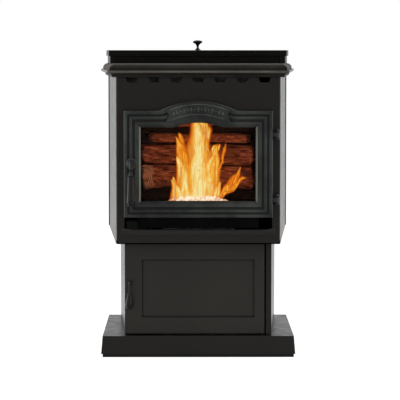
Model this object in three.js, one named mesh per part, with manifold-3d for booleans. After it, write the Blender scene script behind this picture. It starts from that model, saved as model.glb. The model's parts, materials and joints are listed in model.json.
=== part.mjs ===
// A free-standing pedestal pellet stove: plinth, cabinet with an ash pan, cast door and mantel, hopper
// with its lid, feed auger, blowers and exhaust. Millimetres, +Z up, the front faces -Y.
// While it is built, y = 0 is the front top edge of the plinth and z = 0 is the floor. At the end the
// whole stove moves so that the origin is at the bottom centre of its box.

import * as THREE from "three";
import { mergeVertices } from "three/addons/utils/BufferGeometryUtils.js";
import Module from "manifold-3d";

const wasm = await Module();
wasm.setup();

// ---------------------------------------------------------------------------------------------------
// Driving dimensions
// ---------------------------------------------------------------------------------------------------

const SEAT = 0.3; // gap between pieces that rest on each other
const REACH = 1; // how far a cutting tool runs past the face it cuts
const ROUND_SIDES = 16; // sides of a turned piece that shows
const SMALL_SIDES = 12; // sides of a small or hidden turned piece

const plinth = {
  topWidth: 522, topDepth: 446, height: 58, draft: 4, bandHeight: 9, sheet: 2.5, flange: 25,
};

const pedestal = {
  frontHalf: 200, flare: 0.0625, front: 20, depth: 385, height: 250, sheet: 2.5, topPlate: 3,
  postWidth: 14.5, postReturn: 12,
};

const lowerDoor = {
  thickness: 18, skin: 2.5, footGap: 4, headGap: 0.8, sideGap: 1.5, pinRadius: 4, pinReach: 6.5,
  panelHalf: 151.5, panelFoot: 50.7, panelHead: 45, panelDepth: 6, panelBevel: 2.5,
  bore: 4.3, bossRadius: 9, camGap: 1,
};

const body = {
  frontHalf: 222, flare: 0.071, front: -20, depth: 577, height: 448, frontSheet: 3, sideSheet: 2.5,
  rearSheet: 2, floorSheet: 3, cornerRadius: 4, frontReturn: 24, chamferWide: 6.5, chamferHigh: 8.5,
  rearLap: 14,
};

// The body stands on the pedestal. Heights in it are measured up from the top of its floor.
const pedestalTop = plinth.height + pedestal.height;
const bodyBottom = pedestalTop + pedestal.topPlate + body.floorSheet + 3 * SEAT;
const inBody = (height) => bodyBottom + height;

const louvre = { count: 7, pitch: 59.6, topWide: 34, bottomWide: 24, height: 14 };

const mantel = {
  height: 35, overhang: 22.3, lipBottom: 10.2, lipTop: 18.3, fascia: 10, coveReach: 21, coveHigh: 10,
  grooveInset: 4.7, ovaloReach: 18, ovaloDrop: 14, wall: 7, seatInset: 14,
};

const neck = { front: 330, back: 556, height: 20.7, wall: 3, proud: 4, post: 15, recess: 6 };

const lid = {
  front: 327, thickness: 16.2, sheet: 3, proud: 8, edge: 1.5, knobSetback: 26, studRadius: 3,
  hingeRadius: 5, hingePin: 2.5, pinGap: 0.35, hingeSpread: 150, knuckle: 30, leaf: 2, gasketWide: 8,
};

const hopper = {
  left: -242, right: 150, front: 346, back: 544, sheet: 2, collar: 30, straight: 158,
  throatHalf: 20, throatY: 400, throatHigh: 15, flange: 6, tubeGap: 0.5,
};

const controls = {
  left: 158, right: 242, depthDown: 52, sheet: 2, shaft: 3, bore: 3.4, knobRadius: 15, knobHigh: 15,
  dialY: 392, dialPitch: 56, switchWide: 13, switchLong: 22, switchTilt: 8, switchGap: 0.6,
};

const opening = { sideGap: 2 }; // between the mantel's hopper opening and what hangs in it

const door = {
  half: 200, bottom: inBody(71.1), shoulder: inBody(358.1), archHalf: 118, archRise: 26.6,
  archFillet: 60, back: -26, front: -52, panes: 45.4, glassHalf: 155, glassBottom: inBody(114.1),
  glassShoulder: inBody(313.6), glassArchHalf: 70, glassArchRise: 13.5, throughGap: 1.5,
};

const glazing = { rebate: 38.5, glass: 4.5, face: -33, retainerWide: 7.5, retainer: 3.4 };

const gasket = { outer: 30, inner: 36.5, groove: 3.5, round: 1.6 };

const band = { top: 4, bottom: 31, half: 87, notch: 9, proud: 3.5 };

const hinge = {
  outside: 12, y: -42, barrel: 7, pin: 3, bore: 3.3, lowerZ: inBody(106.1), upperZ: inBody(282.1),
  high: 28, foot: 7, knuckle: 10, plateWide: 17, plate: 3.5, arm: 4.5,
};

const handle = {
  x: -180, z: inBody(217.1), bossRadius: 15, boss: 6, shaft: 5, bore: 5.3, hub: 10.5, gripY: -78,
  gripDrop: 33, gripHigh: 81, gripTopRadius: 9, gripBottomRadius: 11.5, gripBore: 3.9, tang: 3.5,
  camFront: -13, cam: 5, camNose: 14, noseRadius: 3.5, camRadius: 7,
};

// The slot in the front panel that the latch nose goes through, out from the handle's axis.
const latchSlot = { left: 17, right: 10, down: 9, up: 18 };

const lowerHandle = {
  x: -186, headDrop: 106, hub: 5.5, forward: 13.5, gripDrop: 26, gripLean: -1, gripHigh: 44,
  gripRadius: 10.5, stem: 3, tang: 8, shaft: 4, nose: 5, camRadius: 7, noseRadius: 4, cam: 3.5,
};

const ashLip = {
  half: 209, recessHalf: 200, recessCorner: 12, bottom: inBody(30.3), behindDoor: 12, proud: 11,
  rim: 4, rise: 7, turn: 44, sheet: 3, apron: 8,
};

const firebox = {
  half: 166, sheet: 4, floor: inBody(37.1), ledge: inBody(89.1), top: inBody(375.1), stepBack: 22,
  back: 230, slotHalf: 94, slotFront: 35, slotBack: 61, airHalf: 46, airFront: 22, airBack: 14,
};

const pot = {
  bottomHalf: 66, rimHalf: 90, bottomFront: 78, rimFront: 66, bottomBack: 160, rimBack: 165,
  high: 60, wall: 6, rimHigh: 6, rimWide: 5, floor: 7, airHole: 2.5, holeRow: 7, holePitch: 17,
  holeRowsAt: [26, 40], grate: 2.5,
};

const feed = {
  floorGap: 2, tubeRadius: 26, tubeWall: 2.5, tubeBack: 456, flangeWide: 10, flange: 6,
  flightGap: 2.2, potGap: 3, shaft: 8, pitch: 44, flight: 3, motorDepth: 50, motorHalf: 40,
  motorCorner: 12, coupling: 5,
};

const igniterSize = { x: 42, z: inBody(57.6), radius: 6, plug: 9 };

const liner = { tubeGap: 5, headGap: 2, sideGap: 1, courses: 3, thick: 18, bulge: 17 };

const exchanger = { pleats: 11, wide: 290, high: 44, sheet: 2.5, flange: 12 };

const exhaust = {
  left: 62, right: 124, bottom: inBody(50.1), top: inBody(120.1), back: 400, sheet: 2, eye: 26,
  rim: 6,
};

const draught = {
  y: 360, z: inBody(85.1), wide: 60, radius: 56, growth: 26, throat: 36, reach: 160, wheel: 48,
  motor: 32, motorLong: 46, wall: 2.5,
};

const roomFan = {
  x: -215, y: 365, z: inBody(95.1), wide: 90, radius: 50, growth: 22, throat: 32, reach: 62,
  wheel: 42, motor: 28, motorLong: 44, eye: 30, wall: 2.5,
};

const fanShaft = { radius: 4, bore: 5, past: 14 };

const duct = { sheet: 2, headGap: 18, mouthUp: 6 };

const airBox = { left: -100, right: 60, front: 76, back: 262, high: 34, sheet: 2, riserHigh: 55 };

const intake = { x: -70, z: inBody(27.1), radius: 25, wall: 2, back: 584 };

const flue = { radius: 38, wall: 2.5, back: 615, flange: 48, flangeThick: 3 };

const ashPan = {
  half: 110, front: 66, depth: 250, height: 91, draft: 6, sheet: 1.8, floorGap: 0.6, rod: 3.5,
  handleHalf: 45, handleReach: 20,
};

const chute = {
  half: 98, topFront: 32, topBack: 64, bottomFront: 84, bottomBack: 120, panGap: 15.4, sheet: 2,
};

const grille = { centre: 120, half: 55, bottom: inBody(245.1), pitch: 18, rows: 6, radius: 4 };

const inlet = {
  x: -214, z: inBody(37.1), wide: 27, high: 20, flangeWide: 35, flangeHigh: 28, flange: 2.4,
  recess: 14, wall: 2, corner: 4, bladePitch: 6.5,
};

// ---------------------------------------------------------------------------------------------------
// Heights and planes that follow from the sizes above
// ---------------------------------------------------------------------------------------------------

const pedestalBottom = plinth.height + SEAT;
const topPlateBottom = pedestalTop + SEAT;
const topPlateTop = topPlateBottom + pedestal.topPlate;
const floorBottom = topPlateTop + SEAT;
const floorTop = floorBottom + body.floorSheet;
const bodyTop = bodyBottom + body.height;
const mantelBottom = bodyTop + SEAT;
const mantelTop = mantelBottom + mantel.height;
const neckBottom = mantelTop + SEAT;
const neckTop = neckBottom + neck.height;
const lidBottom = neckTop + SEAT;
const lidTop = lidBottom + lid.thickness;
const bodyBack = body.front + body.depth;
const rearFace = bodyBack + SEAT + body.rearSheet;
const pedestalBack = pedestal.front + pedestal.depth;
const panelBack = body.front + body.frontSheet;

const bodyHalf = (y) => body.frontHalf + body.flare * (y - body.front);
const pedestalHalf = (y) => pedestal.frontHalf + pedestal.flare * (y - pedestal.front);

const lowerPivot = {
  x: pedestal.frontHalf - pedestal.postWidth - lowerDoor.sideGap - lowerDoor.thickness / 2,
  y: pedestal.front + lowerDoor.thickness / 2,
};
const lidPivot = { y: neck.back + lid.hingeRadius + 1.5, z: lidBottom + 2.7 };

const hingeX = door.half + hinge.outside;
const slotLeft = handle.x - latchSlot.left;
const slotRight = handle.x + latchSlot.right;
const slotBottom = handle.z - latchSlot.down;
const slotTop = handle.z + latchSlot.up;
const gripTop = handle.z - handle.gripDrop;
const lowerHandleZ = pedestalTop - lowerHandle.headDrop;
const lowerGrip = { x: lowerHandle.x + lowerHandle.gripLean, z: lowerHandleZ - lowerHandle.gripDrop };
const feedZ = firebox.floor + firebox.sheet + feed.floorGap + feed.tubeRadius;
const tubeInner = feed.tubeRadius - feed.tubeWall;
const linerBottom = feedZ + feed.tubeRadius + liner.tubeGap;
const linerTop = firebox.top - firebox.sheet - liner.headGap;
const panBottom = plinth.height + ashPan.floorGap;
const smokeLeft = exhaust.left + exhaust.rim;
const smokeRight = exhaust.right - exhaust.rim;
const chuteBottom = panBottom + ashPan.height + chute.panGap;

// ---------------------------------------------------------------------------------------------------
// Geometry helpers
// ---------------------------------------------------------------------------------------------------

const X = new THREE.Vector3(1, 0, 0);
const Y = new THREE.Vector3(0, 1, 0);
const Z = new THREE.Vector3(0, 0, 1);

// Turns an outline's plane square to an axis. Outlines square to x hold (y, z), to y hold (x, z), and to
// z hold (x, y).
const SQUARE_TO = {
  x: new THREE.Matrix4().makeBasis(Y, Z, X),
  y: new THREE.Matrix4().makeBasis(X, Z, Y.clone().negate()),
  z: new THREE.Matrix4(),
};

function shift(geometry, axis, amount) {
  const vector = { x: X, y: Y, z: Z }[axis].clone().multiplyScalar(amount);
  return geometry.translate(vector.x, vector.y, vector.z);
}

function toVectors(points) {
  return points.map(([a, b]) => new THREE.Vector2(a, b));
}

function extrude(axis, from, to, outline) {
  const shape = new THREE.Shape(toVectors(outline));
  const geometry = new THREE.ExtrudeGeometry(shape, { depth: to - from, bevelEnabled: false });
  geometry.applyMatrix4(SQUARE_TO[axis]);
  return shift(geometry, axis, axis === "y" ? to : from);
}

// An extrusion with holes right through it.
function pierced(axis, from, to, outline, holes) {
  const tools = holes.map((hole) => extrude(axis, from - REACH, to + REACH, hole));
  return cut(extrude(axis, from, to, outline), ...tools);
}

function box(x0, x1, y0, y1, z0, z1) {
  return extrude("z", z0, z1, rect(x0, x1, y0, y1));
}

function rect(a0, a1, b0, b1) {
  return [[a0, b0], [a1, b0], [a1, b1], [a0, b1]];
}

function arc(centreA, centreB, radius, fromDegrees, toDegrees, steps) {
  return Array.from({ length: steps + 1 }, (_, i) => {
    const angle = THREE.MathUtils.degToRad(fromDegrees + ((toDegrees - fromDegrees) * i) / steps);
    return [centreA + radius * Math.cos(angle), centreB + radius * Math.sin(angle)];
  });
}

function circle(centreA, centreB, radius, sides = SMALL_SIDES) {
  return arc(centreA, centreB, radius, 0, 360, sides).slice(0, sides);
}

// A round hole that clears a turned piece of the radius by a running gap all round.
function clearanceHole(centreA, centreB, radius) {
  return circle(centreA, centreB, (radius + SEAT) / Math.cos(Math.PI / ROUND_SIDES), ROUND_SIDES);
}

// A slot with round ends, long in its first direction.
function roundSlot(a0, a1, centreB, radius) {
  return [
    ...arc(a1 - radius, centreB, radius, -90, 90, 2),
    ...arc(a0 + radius, centreB, radius, 90, 270, 2),
  ];
}

// Revolves (radius, height) pairs about a line along the axis through the point at.
function turned(axis, profile, at = [0, 0, 0], sides = ROUND_SIDES) {
  const geometry = new THREE.LatheGeometry(toVectors(profile), sides);
  if (axis === "x") geometry.rotateZ(-Math.PI / 2);
  if (axis === "z") geometry.rotateX(Math.PI / 2);
  return geometry.translate(...at);
}

function rod(axis, from, to, radius, at, sides = SMALL_SIDES) {
  return turned(axis, [[0, from], [radius, from], [radius, to], [0, to]], at, sides);
}

function tube(axis, from, to, inner, outer, at, sides = ROUND_SIDES) {
  const wall = [[inner, from], [outer, from], [outer, to], [inner, to], [inner, from]];
  return turned(axis, wall, at, sides);
}

// The sheet to the left of a path, with mitred corners, as a closed outline.
function bentSheet(path, thickness) {
  const along = path.slice(1).map(([a, b], i) => {
    const length = Math.hypot(a - path[i][0], b - path[i][1]);
    return [(a - path[i][0]) / length, (b - path[i][1]) / length];
  });
  const inner = path.map(([a, b], i) => {
    const before = along[Math.max(i - 1, 0)];
    const after = along[Math.min(i, along.length - 1)];
    const mitre = thickness / (1 + before[0] * after[0] + before[1] * after[1]);
    return [a - (before[1] + after[1]) * mitre, b + (before[0] + after[0]) * mitre];
  });
  return [...path, ...inner.reverse()];
}

// The ring's points in the plane it faces most squarely.
function flatten(ring) {
  const normal = [0, 1, 2].map((k) => {
    const [u, v] = [(k + 1) % 3, (k + 2) % 3];
    return ring.reduce((sum, point, i) => {
      const next = ring[(i + 1) % ring.length];
      return sum + point[u] * next[v] - point[v] * next[u];
    }, 0);
  });
  const sizes = normal.map(Math.abs);
  const dropped = sizes.indexOf(Math.max(...sizes));
  return ring.map((point) => new THREE.Vector2(...point.filter((_, k) => k !== dropped)));
}

// Triangles that fill a flat ring, turned the way the ring runs.
function fillFaces(ring) {
  const flat = flatten(ring);
  const faces = THREE.ShapeUtils.triangulateShape(flat, []);
  const turn = THREE.ShapeUtils.area(faces[0].map((k) => flat[k])) * THREE.ShapeUtils.area(flat);
  return turn > 0 ? faces : faces.map(([i, j, k]) => [i, k, j]);
}

// A skin through rings of [x, y, z] points. With endless set the last ring joins the first, and
// otherwise the two end rings are filled.
function loft(rings, endless = false) {
  const count = rings[0].length;
  const index = [];
  const spans = endless ? rings.length : rings.length - 1;
  for (let r = 0; r < spans; r += 1) {
    const a = r * count;
    const b = ((r + 1) % rings.length) * count;
    for (let i = 0; i < count; i += 1) {
      const j = (i + 1) % count;
      index.push(a + i, a + j, b + j, a + i, b + j, b + i);
    }
  }
  if (!endless) {
    const end = (rings.length - 1) * count;
    for (const [i, j, k] of fillFaces(rings[0])) index.push(i, k, j);
    for (const [i, j, k] of fillFaces(rings.at(-1))) index.push(end + i, end + j, end + k);
  }
  const geometry = new THREE.BufferGeometry();
  geometry.setAttribute("position", new THREE.Float32BufferAttribute(rings.flat(2), 3));
  geometry.setIndex(index);
  return geometry;
}

function signedVolume(geometry) {
  const place = geometry.getAttribute("position");
  const index = geometry.index.array;
  const [a, b, c] = [new THREE.Vector3(), new THREE.Vector3(), new THREE.Vector3()];
  let volume = 0;
  for (let i = 0; i < index.length; i += 3) {
    a.fromBufferAttribute(place, index[i]);
    b.fromBufferAttribute(place, index[i + 1]);
    c.fromBufferAttribute(place, index[i + 2]);
    volume += a.dot(b.cross(c)) / 6;
  }
  return volume;
}

// The geometry as one closed skin of shared points with its faces turned outwards.
function sealed(geometry) {
  const bare = geometry.clone();
  bare.deleteAttribute("normal");
  bare.deleteAttribute("uv");
  const merged = mergeVertices(bare);
  const old = merged.index.array;
  const index = [];
  for (let i = 0; i < old.length; i += 3) {
    const [p, q, r] = [old[i], old[i + 1], old[i + 2]];
    if (p !== q && q !== r && r !== p) index.push(p, q, r);
  }
  merged.setIndex(index);
  if (signedVolume(merged) < 0) merged.setIndex(index.reverse());
  return merged;
}

function solidOf(geometry) {
  const skin = sealed(geometry);
  return new wasm.Manifold(
    new wasm.Mesh({
      numProp: 3,
      vertProperties: new Float32Array(skin.getAttribute("position").array),
      triVerts: new Uint32Array(skin.index.array),
    }),
  );
}

function geometryOf(solid) {
  const mesh = solid.getMesh();
  const geometry = new THREE.BufferGeometry();
  geometry.setAttribute("position", new THREE.Float32BufferAttribute(mesh.vertProperties, 3));
  geometry.setIndex(Array.from(mesh.triVerts));
  return geometry;
}

function join(...geometries) {
  return geometryOf(geometries.map(solidOf).reduce((whole, next) => whole.add(next)));
}

function cut(geometry, ...tools) {
  return geometryOf(tools.map(solidOf).reduce((left, tool) => left.subtract(tool), solidOf(geometry)));
}

function mirrored(geometry) {
  return geometry.clone().scale(-1, 1, 1);
}

const ringAt = (outline, z) => outline.map(([x, y]) => [x, y, z]);

// ---------------------------------------------------------------------------------------------------
// Materials
// ---------------------------------------------------------------------------------------------------

const FINISHES = {
  blackPaint: { color: 0x2b2b2a, roughness: 0.42, metalness: 0.35 },
  plinthPaint: { color: 0x3a3835, roughness: 0.4, metalness: 0.35 },
  castIron: { color: 0x2a2c2b, roughness: 0.5, metalness: 0.45 },
  darkCast: { color: 0x1b1a19, roughness: 0.8, metalness: 0.4 },
  glossBlack: { color: 0x14171c, roughness: 0.18, metalness: 0.2 },
  steel: { color: 0x8d8f90, roughness: 0.4, metalness: 0.9 },
  galvanised: { color: 0xa3a7a8, roughness: 0.55, metalness: 0.8 },
  firedLog: { color: 0x6b3a26, roughness: 0.95, metalness: 0 },
  rope: { color: 0x3b3a38, roughness: 1, metalness: 0 },
  plastic: { color: 0x17181a, roughness: 0.5, metalness: 0 },
  ceramicGlass: { color: 0x1a1510, roughness: 0.05, metalness: 0, transparent: true, opacity: 0.25 },
};

function part(name, finish, geometry) {
  const skin = sealed(geometry).toNonIndexed();
  skin.computeVertexNormals();
  const mesh = new THREE.Mesh(skin, new THREE.MeshStandardMaterial(FINISHES[finish]));
  mesh.name = name;
  return mesh;
}

// Groups pieces that move together about a pivot, without moving them now.
function movingGroup(pivot, meshes) {
  const group = new THREE.Group();
  group.position.set(...pivot);
  for (const mesh of meshes) {
    mesh.position.sub(group.position);
    group.add(mesh);
  }
  return group;
}

// ---------------------------------------------------------------------------------------------------
// Plinth and pedestal cabinet
// ---------------------------------------------------------------------------------------------------

function plinthRing(out, z) {
  const half = plinth.topWidth / 2 + out;
  return ringAt(rect(-half, half, -out, plinth.topDepth + out), z);
}

function basePlinth() {
  const { height, draft, bandHeight, sheet, flange } = plinth;
  const outer = loft([
    plinthRing(0, 0),
    plinthRing(0, bandHeight),
    plinthRing(draft, bandHeight),
    plinthRing(0, height),
  ]);
  const cavity = loft([
    plinthRing(-flange, -REACH),
    plinthRing(-flange, sheet),
    plinthRing(-sheet, sheet),
    plinthRing(-sheet, bandHeight + sheet),
    plinthRing(draft - sheet, bandHeight + sheet),
    plinthRing(-sheet, height - sheet),
  ]);
  const pinAt = [lowerPivot.x, lowerPivot.y, 0];
  const pinHole = rod("z", height - sheet - REACH, height + REACH, lowerDoor.bore, pinAt);
  return cut(outer, cavity, pinHole);
}

function pedestalOutline(front) {
  return [
    [-pedestalHalf(front), front],
    [pedestalHalf(front), front],
    [pedestalHalf(pedestalBack), pedestalBack],
    [-pedestalHalf(pedestalBack), pedestalBack],
  ];
}

const pedestalSideEnd = pedestalBack - pedestal.sheet - SEAT;

function pedestalLeftSide() {
  const start = pedestal.front + lowerDoor.thickness + SEAT;
  const path = [[-pedestalHalf(pedestalSideEnd), pedestalSideEnd], [-pedestalHalf(start), start]];
  return extrude("z", pedestalBottom, pedestalTop, bentSheet(path, pedestal.sheet));
}

function pedestalRightSide() {
  const postEdge = pedestal.frontHalf - pedestal.postWidth;
  const path = [
    [postEdge, pedestal.front + pedestal.postReturn],
    [postEdge, pedestal.front],
    [pedestal.frontHalf, pedestal.front],
    [pedestalHalf(pedestalSideEnd), pedestalSideEnd],
  ];
  return extrude("z", pedestalBottom, pedestalTop, bentSheet(path, pedestal.sheet));
}

function pedestalBackPanel() {
  const half = pedestalHalf(pedestalBack);
  return box(-half, half, pedestalBack - pedestal.sheet, pedestalBack, pedestalBottom, pedestalTop);
}

function chuteEdges(z) {
  const share = (chuteTop - z) / (chuteTop - chuteBottom);
  return {
    front: chute.topFront + (chute.bottomFront - chute.topFront) * share,
    back: chute.topBack + (chute.bottomBack - chute.topBack) * share,
  };
}

// The hole that lets the sloping chute through a plate between two heights.
function chuteHole(bottom, top) {
  const side = chute.half + SEAT;
  return rect(-side, side, chuteEdges(top).front - SEAT, chuteEdges(bottom).back + SEAT);
}

function pedestalTopPlate() {
  const pinHole = circle(lowerPivot.x, lowerPivot.y, lowerDoor.bore);
  const holes = [chuteHole(topPlateBottom, topPlateTop), pinHole];
  return pierced("z", topPlateBottom, topPlateTop, pedestalOutline(pedestal.front), holes);
}

// ---------------------------------------------------------------------------------------------------
// Pedestal door and its handle
// ---------------------------------------------------------------------------------------------------

function lowerPanelRing(out, y) {
  const half = lowerDoor.panelHalf + out;
  const low = plinth.height + lowerDoor.panelFoot - out;
  const high = pedestalTop - lowerDoor.panelHead + out;
  return [[-half, y, low], [half, y, low], [half, y, high], [-half, y, high]];
}

function pedestalDoor() {
  const { thickness, skin, footGap, headGap, panelDepth, panelBevel, bore, bossRadius } = lowerDoor;
  const front = pedestal.front;
  const back = front + thickness;
  const bottom = plinth.height + footGap;
  const top = pedestalTop - headGap;
  const left = -pedestal.frontHalf;
  const bullnose = arc(lowerPivot.x, lowerPivot.y, thickness / 2, -90, 90, 10);
  const slab = extrude("z", bottom, top, [[left, front], ...bullnose, [left, back]]);
  const slope = (panelBevel * REACH) / panelDepth;
  const recess = loft([
    lowerPanelRing(panelBevel + slope, front - REACH),
    lowerPanelRing(0, front + panelDepth),
  ]);
  const hollowRight = lowerPivot.x - thickness;
  const hollow = box(left + skin, hollowRight, front + skin, back + REACH, bottom + skin, top - skin);
  const tray = loft([
    lowerPanelRing(skin + panelBevel, front),
    lowerPanelRing(skin + panelBevel, front + panelDepth + skin),
  ]);
  const shaftAt = [lowerHandle.x, 0, lowerHandleZ];
  const boss = rod("y", front + skin / 2, back, bossRadius, shaftAt);
  const shaftHole = rod("y", front - REACH, back + REACH, bore, shaftAt);
  const pinAt = [lowerPivot.x, lowerPivot.y, 0];
  const pins = [
    rod("z", bottom - lowerDoor.pinReach, bottom + skin, lowerDoor.pinRadius, pinAt),
    rod("z", top - skin, topPlateTop - SEAT, lowerDoor.pinRadius, pinAt),
  ];
  const pan = cut(slab, cut(hollow, tray));
  return cut(join(cut(pan, recess), boss, ...pins), shaftHole);
}

function lowerHandleSpindle() {
  const { x, hub, forward, stem, tang, shaft, nose, camRadius, noseRadius, cam } = lowerHandle;
  const z = lowerHandleZ;
  const front = pedestal.front;
  const back = front + lowerDoor.thickness;
  const arm = rod("z", 0, Math.hypot(lowerGrip.x - x, lowerGrip.z - z) + tang, stem, [0, 0, 0]);
  arm.rotateY(Math.atan2(lowerGrip.x - x, lowerGrip.z - z));
  arm.translate(x, front - forward, z);
  const knob = turned("y", [
    [0, -forward - 5], [hub - 2, -forward - 4.4], [hub, -forward - 1], [hub, -SEAT], [0, -SEAT],
  ], [x, front, z]);
  const camFront = back + lowerDoor.camGap;
  const pin = rod("y", front - forward / 2, camFront + cam, shaft, [x, 0, z]);
  const camPlate = extrude("y", camFront, camFront + cam, [
    ...arc(x, z, camRadius, -90, 90, 8),
    ...arc(x - nose, z, noseRadius, 90, 270, 6),
  ]);
  return join(knob, pin, arm, camPlate);
}

function lowerHandleGrip() {
  const { gripHigh, gripRadius, stem, tang } = lowerHandle;
  const socket = stem + SEAT + 0.1;
  const deep = -tang - 1;
  const profile = [
    [0, deep], [socket, deep], [socket, 0], [socket + 1.6, -0.4], [6, -6], [gripRadius - 2.4, -18],
    [gripRadius - 0.5, -29], [gripRadius, -34], [gripRadius - 1, -36.5], [gripRadius - 2.5, -37.5],
    [gripRadius - 2.2, -39], [gripRadius - 3, -42.5], [gripRadius - 6, -gripHigh], [0, -gripHigh],
  ];
  return turned("z", profile, [0, 0, 0], SMALL_SIDES + 2);
}

// ---------------------------------------------------------------------------------------------------
// Ash pan and chute
// ---------------------------------------------------------------------------------------------------

function panRing(out, z) {
  const half = ashPan.half + out;
  return ringAt(rect(-half, half, ashPan.front - out, ashPan.front + ashPan.depth + out), z);
}

function ashPanHandle() {
  const { handleHalf, handleReach, rod: radius, front, height, draft, sheet } = ashPan;
  const z = panBottom + height * 0.6;
  const wall = front + draft * 0.4;
  const grip = front - handleReach;
  const bar = rod("x", -handleHalf, handleHalf, radius, [0, grip, z]);
  const legs = [-1, 1].map((side) => {
    const at = [side * (handleHalf - radius), 0, z];
    const leg = rod("y", grip, wall + sheet / 2, radius, at);
    const foot = rod("y", wall - 2, wall + sheet / 2, radius * 2.4, at);
    return join(leg, foot);
  });
  return join(bar, ...legs);
}

function ashPanTray() {
  const { height, draft, sheet } = ashPan;
  const top = panBottom + height;
  const outer = loft([panRing(-draft, panBottom), panRing(0, top)]);
  const inside = loft([panRing(-draft - sheet, panBottom + sheet), panRing(-sheet, top + REACH)]);
  return join(cut(outer, inside), ashPanHandle());
}

const chuteTop = firebox.floor - SEAT;

function chuteRing(inset, z) {
  const edges = chuteEdges(z);
  const half = chute.half - inset;
  return ringAt(rect(-half, half, edges.front + inset, edges.back - inset), z);
}

function ashChute() {
  const outer = loft([chuteRing(0, chuteBottom), chuteRing(0, chuteTop)]);
  const inside = loft([
    chuteRing(chute.sheet, chuteBottom - REACH),
    chuteRing(chute.sheet, chuteTop + REACH),
  ]);
  return cut(outer, inside);
}

// ---------------------------------------------------------------------------------------------------
// Body casing
// ---------------------------------------------------------------------------------------------------

function bodyOutline(out, front, back) {
  return [
    [-bodyHalf(front) - out, front],
    [bodyHalf(front) + out, front],
    [bodyHalf(back) + out, back],
    [-bodyHalf(back) - out, back],
  ];
}

function louvreNotches() {
  return Array.from({ length: louvre.count }, (_, i) => {
    const x = (i - (louvre.count - 1) / 2) * louvre.pitch;
    const low = bodyTop - louvre.height;
    const outline = [
      [x - louvre.bottomWide / 2, low],
      [x + louvre.bottomWide / 2, low],
      [x + louvre.topWide / 2, bodyTop],
      [x + louvre.topWide / 2, bodyTop + REACH],
      [x - louvre.topWide / 2, bodyTop + REACH],
      [x - louvre.topWide / 2, bodyTop],
    ];
    return extrude("y", body.front - REACH, panelBack + REACH, outline);
  });
}

function frontPanel() {
  const { cornerRadius: r, frontHalf, front, frontReturn } = body;
  const end = front + frontReturn;
  const path = [
    [-bodyHalf(end), end],
    ...arc(-frontHalf + r, front + r, r, 180, 270, 3),
    ...arc(frontHalf - r, front + r, r, 270, 360, 3),
    [bodyHalf(end), end],
  ];
  const sheet = extrude("z", bodyBottom, bodyTop, bentSheet(path, body.frontSheet));
  const through = [front - REACH, panelBack + REACH];
  const fire = extrude("y", ...through, doorOutline(gasket.inner + door.throughGap));
  const latch = extrude("y", ...through, rect(slotLeft, slotRight, slotBottom, slotTop));
  const recess = extrude("y", ...through, ashRecess());
  const chamfers = [-1, 1].map((side) => {
    const x = side * (frontHalf + REACH);
    const z = bodyBottom - REACH;
    const triangle = [
      [x, z],
      [x - side * (body.chamferWide + REACH), z],
      [x, z + body.chamferHigh + REACH],
    ];
    return extrude("y", front - REACH, end + REACH, triangle);
  });
  return cut(sheet, fire, latch, recess, ...louvreNotches(), ...chamfers);
}

// The outline of the opening over the ash lip, with round lower corners.
function ashRecess() {
  const { recessHalf: half, recessCorner: r, bottom, behindDoor } = ashLip;
  const top = door.bottom + behindDoor;
  return [
    ...arc(-half + r, bottom + r, r, 180, 270, 5),
    ...arc(half - r, bottom + r, r, 270, 360, 5),
    [half, top],
    [-half, top],
  ];
}

function leftSidePanel() {
  const start = body.front + body.frontReturn + SEAT;
  const path = [[-bodyHalf(bodyBack), bodyBack], [-bodyHalf(start), start]];
  return extrude("z", bodyBottom, bodyTop, bentSheet(path, body.sideSheet));
}

function floorPan() {
  const outline = bodyOutline(0, body.front, bodyBack);
  const corner = body.chamferWide;
  const chamfered = [
    [outline[0][0], body.front + corner],
    [outline[0][0] + corner, body.front],
    [outline[1][0] - corner, body.front],
    [outline[1][0], body.front + corner],
    outline[2],
    outline[3],
  ];
  return pierced("z", floorBottom, floorTop, chamfered, [chuteHole(floorBottom, floorTop)]);
}

function rearCover() {
  const { rearSheet, rearLap } = body;
  const lap = rearFace - rearLap;
  const out = rearSheet + SEAT;
  const path = [
    [bodyHalf(lap) + out, lap],
    [bodyHalf(rearFace) + out, rearFace],
    [-bodyHalf(rearFace) - out, rearFace],
    [-bodyHalf(lap) - out, lap],
  ];
  const sheet = extrude("z", bodyBottom, bodyTop, bentSheet(path, rearSheet));
  const through = [bodyBack - REACH, rearFace + REACH];
  const { half, bottom, pitch, rows, radius } = grille;
  const slots = [-grille.centre, grille.centre].flatMap((centre) => (
    Array.from({ length: rows }, (_, row) => (
      roundSlot(centre - half, centre + half, bottom + row * pitch, radius)
    ))
  ));
  const plugWide = inlet.wide / 2 + SEAT;
  const plugHigh = inlet.high / 2 + SEAT;
  const holes = [
    clearanceHole(flueX, flueZ, flue.radius),
    clearanceHole(intake.x, intake.z, intake.radius),
    rect(inlet.x - plugWide, inlet.x + plugWide, inlet.z - plugHigh, inlet.z + plugHigh),
    ...slots,
  ];
  return cut(sheet, ...holes.map((hole) => extrude("y", ...through, hole)));
}

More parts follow.
